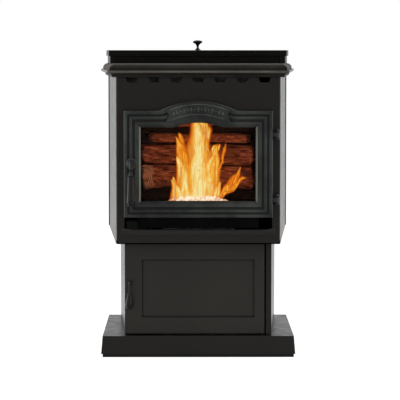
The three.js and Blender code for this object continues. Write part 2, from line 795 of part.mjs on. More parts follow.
// The rolled rim and shelf under the door. Its rim stands proud in the middle, and runs back into the
// panel and rises at both ends.
function ashLipShelf() {
  const { half, bottom, proud, rim, rise, turn, sheet, apron, recessHalf, recessCorner } = ashLip;
  const seatY = body.front - SEAT;
  const shelfBottom = bottom + SEAT;
  const shelfTop = shelfBottom + sheet;
  const straight = half - turn;
  const shelfBack = firebox.stepBack - SEAT;
  const shelfHalf = recessHalf - recessCorner - 1;
  const stations = Array.from({ length: 9 }, (_, i) => (
    -half + turn * (1 - Math.cos((i * Math.PI) / 16))
  ));
  const xs = [...stations, ...stations.map((x) => -x).reverse()];
  const sections = xs.map((x) => {
    const share = Math.max(Math.abs(x) - straight, 0) / turn;
    const fullness = Math.max(Math.sqrt(Math.max(1 - share * share, 0)), 0.22);
    const lift = rise * (1 - fullness);
    const y = (forward) => seatY - forward * fullness;
    return [
      [x, seatY, shelfBottom],
      [x, seatY, shelfBottom - apron],
      [x, y(sheet), shelfBottom - apron - 0.5],
      [x, y(proud - 2), shelfTop - 3 + lift],
      [x, y(proud), shelfTop + 0.5 + lift],
      [x, y(proud - 0.9), shelfTop + rim - 0.9 + lift],
      [x, y(proud - 3.4), shelfTop + rim + lift],
      [x, y(proud - 5.6), shelfTop + rim - 1.6 + lift],
      [x, seatY, shelfTop + lift * 0.6],
    ];
  });
  const shelf = box(-shelfHalf, shelfHalf, seatY - 2, shelfBack, shelfBottom, shelfTop);
  return join(loft(sections), shelf);
}

// ---------------------------------------------------------------------------------------------------
// Mantel
// ---------------------------------------------------------------------------------------------------

function mantelRing(out, z) {
  const front = body.front - out;
  return ringAt(bodyOutline(out, front, rearFace), z);
}

const mouthFront = hopper.front - opening.sideGap;
const mouthBack = hopper.back + opening.sideGap;
const mouthHalf = controls.right + opening.sideGap;

function mantelTopCasting() {
  const { overhang, lipBottom, lipTop, fascia, coveReach, coveHigh, grooveInset } = mantel;
  const { ovaloReach, ovaloDrop, seatInset, wall } = mantel;
  const z0 = mantelBottom;
  const cove = arc(coveReach, z0, coveReach - fascia, 180, 90, 4).map(([out, z]) => [
    out,
    Math.min(z, z0 + coveHigh),
  ]);
  const ovalo = arc(0, 0, 1, 0, 90, 6).map(([out, up]) => [
    out * ovaloReach,
    mantelTop - ovaloDrop + up * ovaloDrop,
  ]);
  const moulding = [
    [fascia, z0],
    ...cove.slice(1),
    [overhang, z0 + lipBottom + 1.4],
    [overhang, z0 + lipTop - 1.6],
    [overhang - 1.4, z0 + lipTop],
    [overhang - grooveInset, z0 + lipTop + 0.3],
    [overhang - grooveInset, mantelTop - ovaloDrop - 0.3],
    ...ovalo,
  ];
  const outer = loft(moulding.map(([out, z]) => mantelRing(out, z)));
  const underside = bodyOutline(-seatInset, body.front + seatInset, rearFace - seatInset);
  const under = loft([ringAt(underside, z0 - REACH), ringAt(underside, mantelTop - wall)]);
  const mouth = box(-mouthHalf, mouthHalf, mouthFront, mouthBack, z0 - REACH, mantelTop + REACH);
  return cut(outer, under, mouth);
}

// ---------------------------------------------------------------------------------------------------
// Hopper, neck, lid and controls
// ---------------------------------------------------------------------------------------------------

const neckInnerFront = neck.front + neck.recess + neck.wall;

function hopperNeck() {
  const outline = bodyOutline(neck.proud, neck.front, neck.back);
  const post = outline[1][0] - neck.post;
  const notched = [
    outline[0],
    [-post, neck.front],
    [-post, neck.front + neck.recess],
    [post, neck.front + neck.recess],
    [post, neck.front],
    ...outline.slice(1),
  ];
  const inside = bodyOutline(neck.proud - neck.wall, neckInnerFront, neck.back - neck.wall);
  return pierced("z", neckBottom, neckTop, notched, [inside]);
}

const hopperTop = mantelTop + hopper.collar;
const throatBottom = feedZ + feed.tubeRadius + hopper.tubeGap;

function hopperOutline(out) {
  return rect(hopper.left - out, hopper.right + out, hopper.front - out, hopper.back + out);
}

function hopperRings(inset, past) {
  const funnelTop = mantelTop - hopper.straight;
  const half = hopper.throatHalf - inset;
  const bin = hopperOutline(-inset);
  const throat = rect(-half, half, hopper.throatY - half, hopper.throatY + half);
  return [
    ringAt(throat, throatBottom - past),
    ringAt(throat, throatBottom + hopper.throatHigh),
    ringAt(bin, funnelTop),
    ringAt(bin, hopperTop + past),
  ];
}

function hopperBox() {
  const { left, right, front, back, flange, sheet } = hopper;
  const rim = rect(left - flange, right + 3, front - flange, back + flange);
  const collar = pierced("z", neckBottom, neckBottom + sheet, rim, [hopperOutline(-sheet / 2)]);
  return join(cut(loft(hopperRings(0, 0)), loft(hopperRings(sheet, REACH))), collar);
}

const lidUnderside = lidTop - lid.sheet;

function lidGasket() {
  const half = lid.gasketWide / 2;
  const middle = -hopper.sheet / 2;
  const outer = hopperOutline(middle + half);
  return pierced("z", hopperTop + SEAT, lidUnderside - SEAT, outer, [hopperOutline(middle - half)]);
}

const knobY = lid.front + lid.knobSetback;
const lidHingeXs = [-lid.hingeSpread, lid.hingeSpread];

function lidRing(out, z) {
  return ringAt(bodyOutline(lid.proud + out, lid.front - out, neck.back + out), z);
}

function hopperLid() {
  const { sheet, edge, hingeRadius, knuckle } = lid;
  const outer = loft([lidRing(0, lidBottom), lidRing(0, lidTop - edge), lidRing(-edge, lidTop)]);
  const hollow = loft([lidRing(-sheet, lidBottom - REACH), lidRing(-sheet, lidUnderside)]);
  const stud = rod("z", lidUnderside - REACH, lidTop + REACH, lid.studRadius + SEAT, [0, knobY, 0]);
  const { y, z } = lidPivot;
  const arms = lidHingeXs.map((x) => {
    const half = knuckle / 2 - SEAT;
    const strap = box(x - half, x + half, neck.back - 1, y, z - 1.5, z + hingeRadius - 0.5);
    const barrel = rod("x", x - half, x + half, hingeRadius, [0, y, z]);
    return join(strap, barrel);
  });
  const far = lid.hingeSpread + knuckle;
  const pinHole = rod("x", -far, far, lid.hingePin + lid.pinGap, [0, y, z]);
  return cut(join(cut(outer, hollow, stud), ...arms), pinHole);
}

function lidKnob() {
  const z = lidTop + SEAT;
  const profile = [
    [0, -lid.sheet], [lid.studRadius, -lid.sheet], [lid.studRadius, 0], [8.5, 0], [8, 1.6], [4.4, 4.2],
    [3.2, 8], [3.4, 12.5], [6, 16.8], [11.5, 20], [14, 22.6], [13.4, 24.8], [9, 27.2], [4, 28.2],
    [0, 28.4],
  ];
  return turned("z", profile.map(([r, h]) => [r, z + h]), [0, knobY, 0]);
}

function lidHinge(x) {
  const { knuckle, hingeRadius, hingePin } = lid;
  const { y, z } = lidPivot;
  const at = [0, y, z];
  const face = neck.back + SEAT;
  const leaf = box(x - knuckle, x + knuckle, face, face + lid.leaf, neckBottom + 2, z);
  const barrels = [-1, 1].map((side) => {
    const near = x + (side * knuckle) / 2;
    const far = x + side * knuckle;
    return rod("x", Math.min(near, far), Math.max(near, far), hingeRadius, at);
  });
  const pin = rod("x", x - knuckle, x + knuckle, hingePin, at);
  const slotLow = z - hingeRadius - 1;
  const slotBack = face + lid.leaf + REACH;
  const strapSlot = box(x - knuckle / 2, x + knuckle / 2, face - REACH, slotBack, slotLow, z + 1);
  return join(cut(leaf, strapSlot), ...barrels, pin);
}

const dialX = (controls.left + controls.right) / 2;
const dialYs = [controls.dialY, controls.dialY + controls.dialPitch];
const switchY = controls.dialY + 2 * controls.dialPitch;
const panelTop = neckBottom + controls.sheet;

function controlPanel() {
  const { left, right, depthDown, sheet, bore, switchGap } = controls;
  const { front, back, flange } = hopper;
  const rim = rect(left - sheet, right + flange, front - flange, back + flange);
  const plate = extrude("z", neckBottom, panelTop, rim);
  const inside = rect(left + sheet, right - sheet, front + sheet, back - sheet);
  const outside = rect(left, right, front, back);
  const sideWall = pierced("z", mantelTop - depthDown, neckBottom + 1, outside, [inside]);
  const through = [neckBottom - REACH, panelTop + REACH];
  const shafts = dialYs.map((y) => rod("z", ...through, bore, [dialX, y, 0]));
  const halfWide = controls.switchWide / 2 + switchGap;
  const halfLong = controls.switchLong / 2 + switchGap;
  const rocker = extrude(
    "z", ...through, rect(dialX - halfWide, dialX + halfWide, switchY - halfLong, switchY + halfLong),
  );
  return cut(join(plate, sideWall), ...shafts, rocker);
}

function dialKnob(y) {
  const { knobRadius: r, knobHigh: high, shaft } = controls;
  const z = panelTop + SEAT;
  const skirt = turned("z", [
    [0, -12], [shaft, -12], [shaft, 0], [r, 0], [r, 3], [r - 3, 4.5], [r - 4, high - 1], [r - 5, high],
    [0, high],
  ], [dialX, y, z], SMALL_SIDES + 2);
  const pointer = box(dialX - 1.2, dialX + 1.2, y - r + 2, y - 2, z + 3, z + high + 1.5);
  return join(skirt, pointer);
}

const switchZ = panelTop - 1;

function powerSwitch() {
  const half = controls.switchLong / 2;
  const outline = [[-half, -7], [half, -7], [half, 3.5], [0, 1.2], [-half, 3.5]];
  return extrude("x", -controls.switchWide / 2, controls.switchWide / 2, outline);
}

// ---------------------------------------------------------------------------------------------------
// Main door: the cast frame's stepped mouldings follow one arched outline
// ---------------------------------------------------------------------------------------------------

// The arch from its left end to its right end: a hollow fillet, the crown and a hollow fillet.
function archPoints(half, rise, fillet) {
  const sum = (half * half + rise * rise) / (2 * rise);
  const crown = sum - fillet;
  const lean = THREE.MathUtils.radToDeg(Math.asin(half / sum));
  return [
    ...arc(-half, fillet, fillet, -90, -90 + lean, 3).slice(0, 3),
    ...arc(0, rise - crown, crown, 90 + lean, 90 - lean, 10),
    ...arc(half, fillet, fillet, -90 - lean, -90, 3).slice(1),
  ];
}

// The door's outline, drawn in by an inset that runs from 0 at its rim to door.panes at the glass.
function doorOutline(inset) {
  const share = inset / door.panes;
  const mix = (outer, inner) => outer + (inner - outer) * share;
  const half = mix(door.half, door.glassHalf);
  const bottom = mix(door.bottom, door.glassBottom);
  const shoulder = mix(door.shoulder, door.glassShoulder);
  const archHalf = mix(door.archHalf, door.glassArchHalf);
  const archRise = mix(door.archRise, door.glassArchRise);
  const arch = archPoints(archHalf, archRise, door.archFillet * (1 - share / 2));
  return [
    [-half, bottom],
    [-half, shoulder],
    ...arch.map(([x, z]) => [x, shoulder + z]),
    [half, shoulder],
    [half, bottom],
  ];
}

// A closed moulding all round the door from (inset, y) pairs.
function frameMoulding(profile) {
  return loft(profile.map(([inset, y]) => doorOutline(inset).map(([x, z]) => [x, y, z])), true);
}

// The height of the arched outline over x.
function archHeight(inset, x) {
  const points = doorOutline(inset).slice(1, -1);
  const next = points.findIndex(([px]) => px >= x);
  const [x0, z0] = points[Math.max(next - 1, 0)];
  const [x1, z1] = points[next];
  return z0 + ((z1 - z0) * (x - x0)) / (x1 - x0 || 1);
}

// A plain ribbon over the crown, with a notch in each end.
function crownBand() {
  const { top, bottom, half, notch, proud } = band;
  const steps = 10;
  const xs = Array.from({ length: steps + 1 }, (_, i) => -half + (2 * half * i) / steps);
  const middle = (top + bottom) / 2;
  const upper = xs.map((x) => [x, archHeight(top, x)]);
  const lower = xs.map((x) => [x, archHeight(bottom, x)]).reverse();
  const outline = [
    ...upper,
    [half - notch, archHeight(middle, half - notch)],
    ...lower,
    [-half + notch, archHeight(middle, -half + notch)],
  ];
  return extrude("y", door.front - proud, door.back - 8, outline);
}

function hingeKnuckleSpan(bottom) {
  const start = bottom + hinge.foot + SEAT;
  return [start, start + hinge.knuckle];
}

function doorFrame() {
  const { front, back, panes } = door;
  const profile = [
    [0, back], [0, front + 3], [1.2, front + 0.6], [3, front], [8.4, front], [9.4, front + 0.8],
    [10.2, front + 5], [13.6, front + 5], [14.6, front + 1.6], [16, front + 0.7], [21.6, front + 0.7],
    [23, front + 1.6], [24, front + 6.5], [28.4, front + 6.5], [29.6, front + 3.2], [31.4, front + 2.8],
    [39.4, front + 8.6], [panes, front + 15.4], [panes, glazing.face], [glazing.rebate, glazing.face],
    [glazing.rebate, back], [gasket.inner, back], [gasket.inner, back - gasket.groove],
    [gasket.outer, back - gasket.groove], [gasket.outer, back],
  ];
  const boss = turned("y", [
    [0, front + 16], [handle.bossRadius, front + 16], [handle.bossRadius, front - handle.boss + 2],
    [handle.bossRadius - 2.5, front - handle.boss], [0, front - handle.boss],
  ], [handle.x, 0, handle.z]);
  const shaftHole = rod("y", front - 2 * handle.boss, back + REACH, handle.bore, [handle.x, 0, handle.z]);
  const knuckles = [hinge.lowerZ, hinge.upperZ].map((z) => {
    const [low, high] = hingeKnuckleSpan(z);
    const arm = box(door.half - 3, hingeX, hinge.y - hinge.arm, hinge.y + hinge.arm, low, high);
    return join(arm, rod("z", low, high, hinge.barrel, [hingeX, hinge.y, 0], ROUND_SIDES));
  });
  const pins = rod("z", hinge.lowerZ, hinge.upperZ + hinge.high, hinge.bore, [hingeX, hinge.y, 0]);
  return cut(join(frameMoulding(profile), crownBand(), boss, ...knuckles), shaftHole, pins);
}

const glassFront = glazing.face + SEAT;
const glassBack = glassFront + glazing.glass;

function doorGlass() {
  return extrude("y", glassFront, glassBack, doorOutline(glazing.rebate + SEAT));
}

function glassRetainer() {
  const front = glassBack + SEAT;
  const back = front + glazing.retainer;
  const outer = glazing.rebate + SEAT;
  const inner = outer + glazing.retainerWide;
  return frameMoulding([[outer, front], [inner, front], [inner, back], [outer, back]]);
}

function doorGasket() {
  const outer = gasket.outer + SEAT;
  const inner = gasket.inner - SEAT;
  const deep = door.back - gasket.groove + SEAT;
  const face = body.front - SEAT;
  const { round } = gasket;
  return frameMoulding([
    [outer, deep], [outer, face - round], [outer + round, face], [inner - round, face],
    [inner, face - round], [inner, deep],
  ]);
}

function handleSpindle() {
  const { x, z, shaft, hub, gripY, tang, camFront, cam, camNose, camRadius, noseRadius } = handle;
  const bossFace = door.front - handle.boss;
  const knob = turned("y", [
    [0, -12.6], [5, -12], [hub - 1, -9.4], [hub, -6], [hub - 0.8, -2], [hub - 2.5, -SEAT], [0, -SEAT],
  ], [x, bossFace, z], SMALL_SIDES + 2);
  const pin = rod("y", bossFace - 4, camFront + cam, shaft, [x, 0, z]);
  const neckTopY = bossFace - 7;
  const neckFoot = gripTop + 11 - z;
  const neckLong = Math.hypot(gripY - neckTopY, neckFoot);
  const swan = turned("z", [
    [0, 0], [6, 0], [4.8, neckLong * 0.5], [4.6, neckLong + 2], [0, neckLong + 2],
  ], [0, 0, 0], SMALL_SIDES);
  swan.rotateX(-Math.atan2(gripY - neckTopY, neckFoot));
  swan.translate(x, neckTopY, z);
  const collar = turned("z", [
    [0, 13.5], [4.4, 13], [5.4, 11.8], [5, 10], [5.4, 7.5], [8.4, 3], [9.4, 1.2], [9.2, SEAT],
    [tang, SEAT], [tang, -26], [0, -26],
  ], [x, gripY, gripTop], SMALL_SIDES + 2);
  const noseX = x - camNose + noseRadius;
  const nose = extrude("y", camFront, camFront + cam, [
    ...arc(x, z, camRadius, -90, 90, 8),
    [noseX, z + noseRadius],
    ...arc(noseX, z, noseRadius, 90, 270, 6).slice(1),
  ]);
  return join(knob, pin, swan, collar, nose);
}

function handleGrip() {
  const { gripHigh: h, gripTopRadius: top, gripBottomRadius: low, gripBore: bore } = handle;
  const profile = [
    [0, -28], [bore, -28], [bore, 0], [top - 1.4, 0], [top, -1.6], [top + 0.1, -8], [top + 0.8, -30],
    [low - 0.6, -55], [low, -68], [low - 0.4, -72], [low - 2.4, -74.2], [low - 2.4, -75.4],
    [low - 1.2, -76.2], [low - 1.4, -79], [low - 4, -h], [0, -h],
  ];
  return turned("z", profile, [handle.x, handle.gripY, gripTop]);
}

// A shelf behind the panel that carries the latch nose, open to the front.
function latchKeeper() {
  const { camNose, noseRadius, camFront, cam } = handle;
  const left = slotLeft - 3;
  const right = handle.x - camNose + noseRadius;
  const top = handle.z - noseRadius - SEAT;
  const face = panelBack + SEAT;
  const leg = box(left, right, face, face + 2.5, top - 30, top);
  const shelf = box(left, right, face, camFront + cam + 4, top - 3, top);
  const window = box(slotLeft, right + REACH, face - REACH, face + 2, slotBottom, top + REACH);
  return join(cut(leg, window), shelf);
}

// ---------------------------------------------------------------------------------------------------
// Hinges of the main door
// ---------------------------------------------------------------------------------------------------

function hingeBracket(bottom) {
  const { y, barrel, bore, plate, plateWide, high } = hinge;
  const face = body.front - SEAT;
  const top = hingeKnuckleSpan(bottom)[0] - SEAT;
  const left = door.half + 2;
  const seatPlate = box(left, left + plateWide, face - plate, face, bottom - 4, bottom + high);
  const arm = box(hingeX - 5, hingeX + 5, y, face, bottom, top);
  const boss = rod("z", bottom, top, barrel, [hingeX, y, 0], ROUND_SIDES);
  const pinHole = rod("z", bottom - REACH, top + REACH, bore, [hingeX, y, 0]);
  return cut(join(seatPlate, arm, boss), pinHole);
}

// The hinge pin with its acorn finial.
function hingePin(bottom) {
  const head = hingeKnuckleSpan(bottom)[1] + SEAT;
  const profile = [
    [0, bottom - 2], [hinge.pin, bottom - 2], [hinge.pin, head], [6.6, head], [6.9, head + 1.6],
    [5, head + 2.8], [6.4, head + 4.6], [6, head + 7.2], [3.6, head + 9.4], [0, head + 10.4],
  ];
  return turned("z", profile, [hingeX, hinge.y, 0], SMALL_SIDES);
}

// ---------------------------------------------------------------------------------------------------
// Firebox, liner, heat exchanger, burn pot
// ---------------------------------------------------------------------------------------------------

// The way from the air box up through the firebox floor and into the pot.
function airPortOutline() {
  const { airHalf, airFront, airBack } = firebox;
  return rect(-airHalf, airHalf, pot.bottomFront + airFront, pot.bottomBack - airBack);
}

function fireboxShell() {
  const { half, sheet, floor, ledge, top, stepBack, back, slotHalf, slotFront, slotBack } = firebox;
  const face = panelBack + SEAT;
  const outer = extrude("x", -half, half, [
    [face, ledge], [stepBack, ledge], [stepBack, floor], [back, floor], [back, top], [face, top],
  ]);
  const inner = extrude("x", -half + sheet, half - sheet, [
    [face - REACH, ledge + sheet], [stepBack + sheet, ledge + sheet], [stepBack + sheet, floor + sheet],
    [back - sheet, floor + sheet], [back - sheet, top - sheet], [face - REACH, top - sheet],
  ]);
  const backWall = [back - sheet - REACH, back + REACH];
  const floorPlate = [floor - REACH, floor + sheet + REACH];
  return cut(
    outer,
    inner,
    rod("y", ...backWall, feed.tubeRadius + SEAT, [0, 0, feedZ], ROUND_SIDES),
    rod("y", ...backWall, igniterSize.radius + SEAT, [igniterSize.x, 0, igniterSize.z]),
    box(smokeLeft, smokeRight, ...backWall, exhaust.bottom + exhaust.rim, linerBottom - 4),
    box(-slotHalf, slotHalf, slotFront, slotBack, ...floorPlate),
    extrude("z", ...floorPlate, airPortOutline()),
  );
}

// Split logs in courses, moulded in one fired board.
function logLiner() {
  const half = firebox.half - firebox.sheet - liner.sideGap;
  const back = firebox.back - firebox.sheet - SEAT;
  const columns = 10;
  const rows = 16;
  const height = linerTop - linerBottom;
  const rings = [];
  for (let c = 0; c <= columns; c += 1) {
    const x = -half + (2 * half * c) / columns;
    const front = [];
    for (let r = 0; r <= rows; r += 1) {
      const z = linerBottom + (height * r) / rows;
      const drift = 0.06 * Math.sin(x / 47 + z / 90) + 0.04 * Math.sin(x / 19);
      const phase = ((z - linerBottom) / height) * liner.courses + drift;
      const course = Math.floor(phase);
      const crown = Math.sqrt(Math.abs(Math.sin(Math.PI * phase)));
      const split = 3.5 * Math.sin(x / 13 + course * 2.1) * Math.sin(z / 9 + x / 31);
      const bulge = liner.bulge * crown * (0.8 + 0.2 * Math.sin(course * 3 + x / 60));
      front.push([x, back - liner.thick - bulge - split, z]);
    }
    rings.push([[x, back, linerBottom], ...front, [x, back, linerTop]]);
  }
  return loft(rings);
}

function heatExchanger() {
  const { pleats, wide, high, sheet, flange } = exchanger;
  const low = firebox.top + SEAT;
  const top = low + high;
  const step = wide / pleats;
  const path = [[-wide / 2 - flange, low]];
  for (let i = 0; i < pleats; i += 1) {
    const x = -wide / 2 + i * step;
    path.push([x, low], [x + step * 0.12, top], [x + step * 0.5, top], [x + step * 0.62, low]);
  }
  path.push([wide / 2 + flange, low]);
  return extrude("y", panelBack + 12, firebox.back, bentSheet(path, sheet));
}

const potBottom = firebox.floor + firebox.sheet + SEAT;

function potRing(half, front, back, z) {
  return ringAt(rect(-half, half, front, back), z);
}

function burnPot() {
  const { bottomHalf, rimHalf, bottomFront, rimFront, bottomBack, rimBack, high, wall } = pot;
  const { rimHigh, rimWide, airHole, holeRow, holePitch, holeRowsAt } = pot;
  const top = potBottom + high;
  const under = top - rimHigh;
  const outer = loft([
    potRing(bottomHalf, bottomFront, bottomBack, potBottom),
    potRing(rimHalf, rimFront, rimBack, under),
    potRing(rimHalf + rimWide, rimFront - rimWide, rimBack + 1, under + 1),
    potRing(rimHalf + rimWide, rimFront - rimWide, rimBack + 1, top),
  ]);
  const inside = loft([
    potRing(bottomHalf - wall, bottomFront + 26, bottomBack - wall + 2, potBottom + pot.floor),
    potRing(rimHalf - wall, rimFront + wall, rimBack - wall, top + REACH),
  ]);
  const { airHalf, airBack } = firebox;
  const airWell = box(
    -airHalf, airHalf, bottomFront + 30, bottomBack - airBack, potBottom - REACH, potBottom + 20,
  );
  const backWall = [rimBack - 20, rimBack + 10];
  const feedHole = rod("y", ...backWall, tubeInner - feed.potGap, [0, 0, feedZ - 1.5]);
  const igniterAt = [igniterSize.x, 0, igniterSize.z];
  const igniterHole = rod("y", ...backWall, igniterSize.radius + SEAT, igniterAt);
  const holes = holeRowsAt.flatMap((up, row) => Array.from({ length: holeRow }, (_, i) => {
    const x = (i - (holeRow - 1) / 2) * holePitch + (row - 0.5) * 8;
    return rod("y", rimFront - 20, bottomFront + 30, airHole, [x, 0, potBottom + up], 6);
  }));
  return cut(outer, inside, airWell, feedHole, igniterHole, ...holes);
}

function burnPotGrate() {
  const half = pot.bottomHalf - pot.wall - 1.5;
  const front = pot.bottomFront + 27.5;
  const back = pot.bottomBack - pot.wall;
  const z = potBottom + pot.floor + SEAT;
  const slots = Array.from({ length: 9 }, (_, i) => {
    const x = (i - 4) * 11;
    return rect(x - 2, x + 2, front + 7, back - 7);
  });
  return pierced("z", z, z + pot.grate, rect(-half, half, front, back), slots);
}

function igniter() {
  const { radius, plug } = igniterSize;
  const tip = pot.bottomBack - 4;
  const seat = firebox.back + SEAT;
  const profile = [
    [0, tip], [radius - 1, tip], [radius, tip + 1], [radius, seat], [plug, seat], [plug, seat + 16],
    [plug - 3, seat + 18], [plug - 3, seat + 30], [0, seat + 30],
  ];
  return turned("y", profile, [igniterSize.x, 0, igniterSize.z], SMALL_SIDES);
}

// ---------------------------------------------------------------------------------------------------
// Feed system
// ---------------------------------------------------------------------------------------------------

const tubeFront = pot.rimBack + 2;
const augerRadius = tubeInner - feed.flightGap;

function augerTube() {
  const at = [0, 0, feedZ];
  const { tubeBack, tubeRadius } = feed;
  const pipe = tube("y", tubeFront, tubeBack, tubeInner, tubeRadius, at);
  const flange = tube("y", tubeBack - feed.flange, tubeBack, tubeInner, tubeRadius + feed.flangeWide, at);
  const mouthHalfWide = hopper.throatHalf - 4;
  const mouth = box(
    -mouthHalfWide, mouthHalfWide, hopper.throatY - mouthHalfWide, hopper.throatY + mouthHalfWide,
    feedZ + 10, feedZ + tubeRadius + REACH,
  );
  return cut(join(pipe, flange), mouth);
}

// A screw flight about the y axis.
function helix(inner, outer, pitch, from, to, thickness) {
  const steps = 8;
  const count = Math.round(((to - from) / pitch) * steps);
  const rings = [];
  for (let i = 0; i <= count; i += 1) {
    const angle = (2 * Math.PI * i) / steps;
    const y = from + (pitch * i) / steps;
    const corner = (radius, side) => [
      radius * Math.cos(angle), y + (side * thickness) / 2, radius * Math.sin(angle),
    ];
    rings.push([corner(inner, -1), corner(outer, -1), corner(outer, 1), corner(inner, 1)]);
  }
  return loft(rings);
}

function feedAuger() {
  const front = tubeFront + 6;
  const end = feed.tubeBack - 8;
  const flight = helix(feed.shaft - 1.5, augerRadius, feed.pitch, front + 3, end - 14, feed.flight);
  flight.translate(0, 0, feedZ);
  const shaft = rod("y", front, end, feed.shaft, [0, 0, feedZ]);
  const tip = rod("y", end - 1, feed.tubeBack + 14, feed.coupling, [0, 0, feedZ]);
  return join(flight, shaft, tip);
}

function feedMotor() {
  const { motorHalf: half, motorCorner: r, motorDepth, coupling } = feed;
  const front = feed.tubeBack + SEAT;
  const back = front + motorDepth;
  const gearCase = extrude("y", front, back, [
    ...arc(-half + r, feedZ - half + r, r, 180, 270, 3),
    ...arc(half - r, feedZ - half + r, r, 270, 360, 3),
    ...arc(half - r, feedZ + half - r, r, 0, 90, 3),
    ...arc(-half + r, feedZ + half - r, r, 90, 180, 3),
  ]);
  const can = turned("y", [
    [0, back - 1], [26, back - 1], [26, back + 30], [22, back + 34], [9, back + 34], [9, back + 38],
    [0, back + 38],
  ], [8, 0, feedZ + 6], SMALL_SIDES);
  const socket = rod("y", front - REACH, front + 18, coupling + SEAT, [0, 0, feedZ]);
  return cut(join(gearCase, can), socket);
}

// ---------------------------------------------------------------------------------------------------
// Blowers, ducts, intake and flue
// ---------------------------------------------------------------------------------------------------

// A snail outline about (0, 0) whose outlet runs along the first direction over its top.
function snail({ radius, growth, throat, reach }, wall, past = 0) {
  const top = radius + growth + wall;
  const sill = radius + growth - throat - wall;
  const start = THREE.MathUtils.radToDeg(Math.asin(sill / (radius + wall)));
  const steps = 20;
  const spiral = Array.from({ length: steps + 1 }, (_, i) => {
    const share = i / steps;
    const angle = THREE.MathUtils.degToRad(start - (start + 270) * share);
    const r = radius + wall + growth * share;
    return [r * Math.cos(angle), r * Math.sin(angle)];
  });
  return [...spiral, [reach + past, top], [reach + past, sill]];
}

function placed(points, y, z, quarterTurn = false) {
  return points.map(([a, b]) => (quarterTurn ? [y - b, z + a] : [y + a, z + b]));
}

function snailHousing(blower, x0, eye, quarterTurn) {
  const { y, z, wall } = blower;
  const x1 = x0 + blower.wide;
  const outer = extrude("x", x0, x1, placed(snail(blower, wall), y, z, quarterTurn));
  const inside = extrude("x", x0 + wall, x1 - wall, placed(snail(blower, 0, REACH), y, z, quarterTurn));
  const eyeHole = rod("x", x0 - REACH, x0 + wall + REACH, eye, [0, y, z], ROUND_SIDES);
  const shaftHole = rod("x", x1 - wall - REACH, x1 + REACH, fanShaft.bore, [0, y, z]);
  const footTop = z - blower.radius - 12;
  const foot = box(x0 + 8, x1 - 8, y - 22, y + 22, bodyBottom, footTop);
  return cut(join(outer, foot), inside, eyeHole, shaftHole);
}

const draughtX = exhaust.right + SEAT;
const flueX = draughtX + draught.wide / 2;
const flueZ = draught.z + draught.radius + draught.growth - draught.throat / 2;

function combustionBlowerHousing() {
  return snailHousing(draught, draughtX, exhaust.eye, false);
}

// A paddle wheel: a back disc, straight blades, hub and shaft.
function combustionFanWheel() {
  const at = [0, draught.y, draught.z];
  const discX = draughtX + draught.wide - 14;
  const disc = rod("x", discX, discX + 2, draught.wheel, at, ROUND_SIDES);
  const hub = rod("x", discX - 20, discX + 2, 10, at);
  const shaft = rod("x", discX, draughtX + draught.wide + fanShaft.past, fanShaft.radius, at);
  const blades = Array.from({ length: 8 }, (_, i) => {
    const blade = box(discX - 26, discX + 1, 6, draught.wheel - 1, -1, 1);
    blade.rotateX((i * Math.PI) / 4);
    return blade.translate(...at);
  });
  return join(disc, hub, shaft, ...blades);
}

// A fan motor: a round can with a bearing nose and a socket for the wheel's shaft.
function fanMotor(face, blower) {
  const { y, z, motor: radius, motorLong: length } = blower;
  const can = turned("x", [
    [0, 0], [14, 0], [14, 3], [radius, 5], [radius, length - 4], [radius - 4, length], [9, length],
    [9, length + 4], [0, length + 4],
  ], [face, y, z], SMALL_SIDES + 4);
  const socketEnd = face + fanShaft.past + 2;
  return cut(can, rod("x", face - REACH, socketEnd, fanShaft.radius + SEAT, [0, y, z]));
}

function exhaustPassage() {
  const { left, right, bottom, top, back, sheet, eye } = exhaust;
  const front = firebox.back + SEAT;
  const shell = box(left, right, front, back, bottom, top);
  const inside = box(
    left + sheet, right - sheet, front - REACH, back - sheet, bottom + sheet, top - sheet,
  );
  const eyeAt = [0, draught.y, draught.z];
  const eyeHole = rod("x", right - sheet - REACH, right + REACH, eye, eyeAt, ROUND_SIDES);
  return cut(shell, inside, eyeHole);
}

function flueCollar() {
  const { radius, wall, back, flange, flangeThick } = flue;
  const start = draught.y + draught.reach + SEAT;
  const cover = rearFace + SEAT;
  const wallSection = [
    [radius - wall, start], [flange, start], [flange, start + flangeThick],
    [radius, start + flangeThick], [radius, cover], [flange, cover], [flange, cover + flangeThick],
    [radius, cover + flangeThick], [radius, back - 16], [radius + 1.6, back - 14],
    [radius, back - 12], [radius, back], [radius - wall, back], [radius - wall, start],
  ];
  return turned("y", wallSection, [flueX, 0, flueZ]);
}

function burnAirBox() {
  const { left, right, front, back, high, sheet, riserHigh } = airBox;
  const bottom = bodyBottom;
  const top = firebox.floor - SEAT;
  const riserFront = firebox.back + SEAT;
  const riserRight = intake.x + intake.radius + 8;
  const low = box(left, right, front, back, bottom, top);
  const riser = box(left, riserRight, riserFront, back, bottom, bottom + riserHigh);
  const lowInside = box(
    left + sheet, right - sheet, front + sheet, back - sheet, bottom + sheet, top - sheet,
  );
  const riserInside = box(
    left + sheet, riserRight - sheet, riserFront + sheet, back - sheet, bottom + high / 2,
    bottom + riserHigh - sheet,
  );
  const topHole = extrude("z", top - sheet - REACH, top + REACH, airPortOutline());
  const bore = intake.radius - intake.wall;
  const pipeAt = [intake.x, 0, intake.z];
  const pipeHole = rod("y", back - sheet - REACH, back + REACH, bore, pipeAt, ROUND_SIDES);
  return cut(join(low, riser), lowInside, riserInside, topHole, pipeHole);
}

function airIntakePipe() {
  const { x, z, radius, wall, back } = intake;
  return tube("y", airBox.back + SEAT, back, radius - wall, radius, [x, 0, z]);
}

function distributionBlowerHousing() {
  return snailHousing(roomFan, roomFan.x, roomFan.eye, true);
}

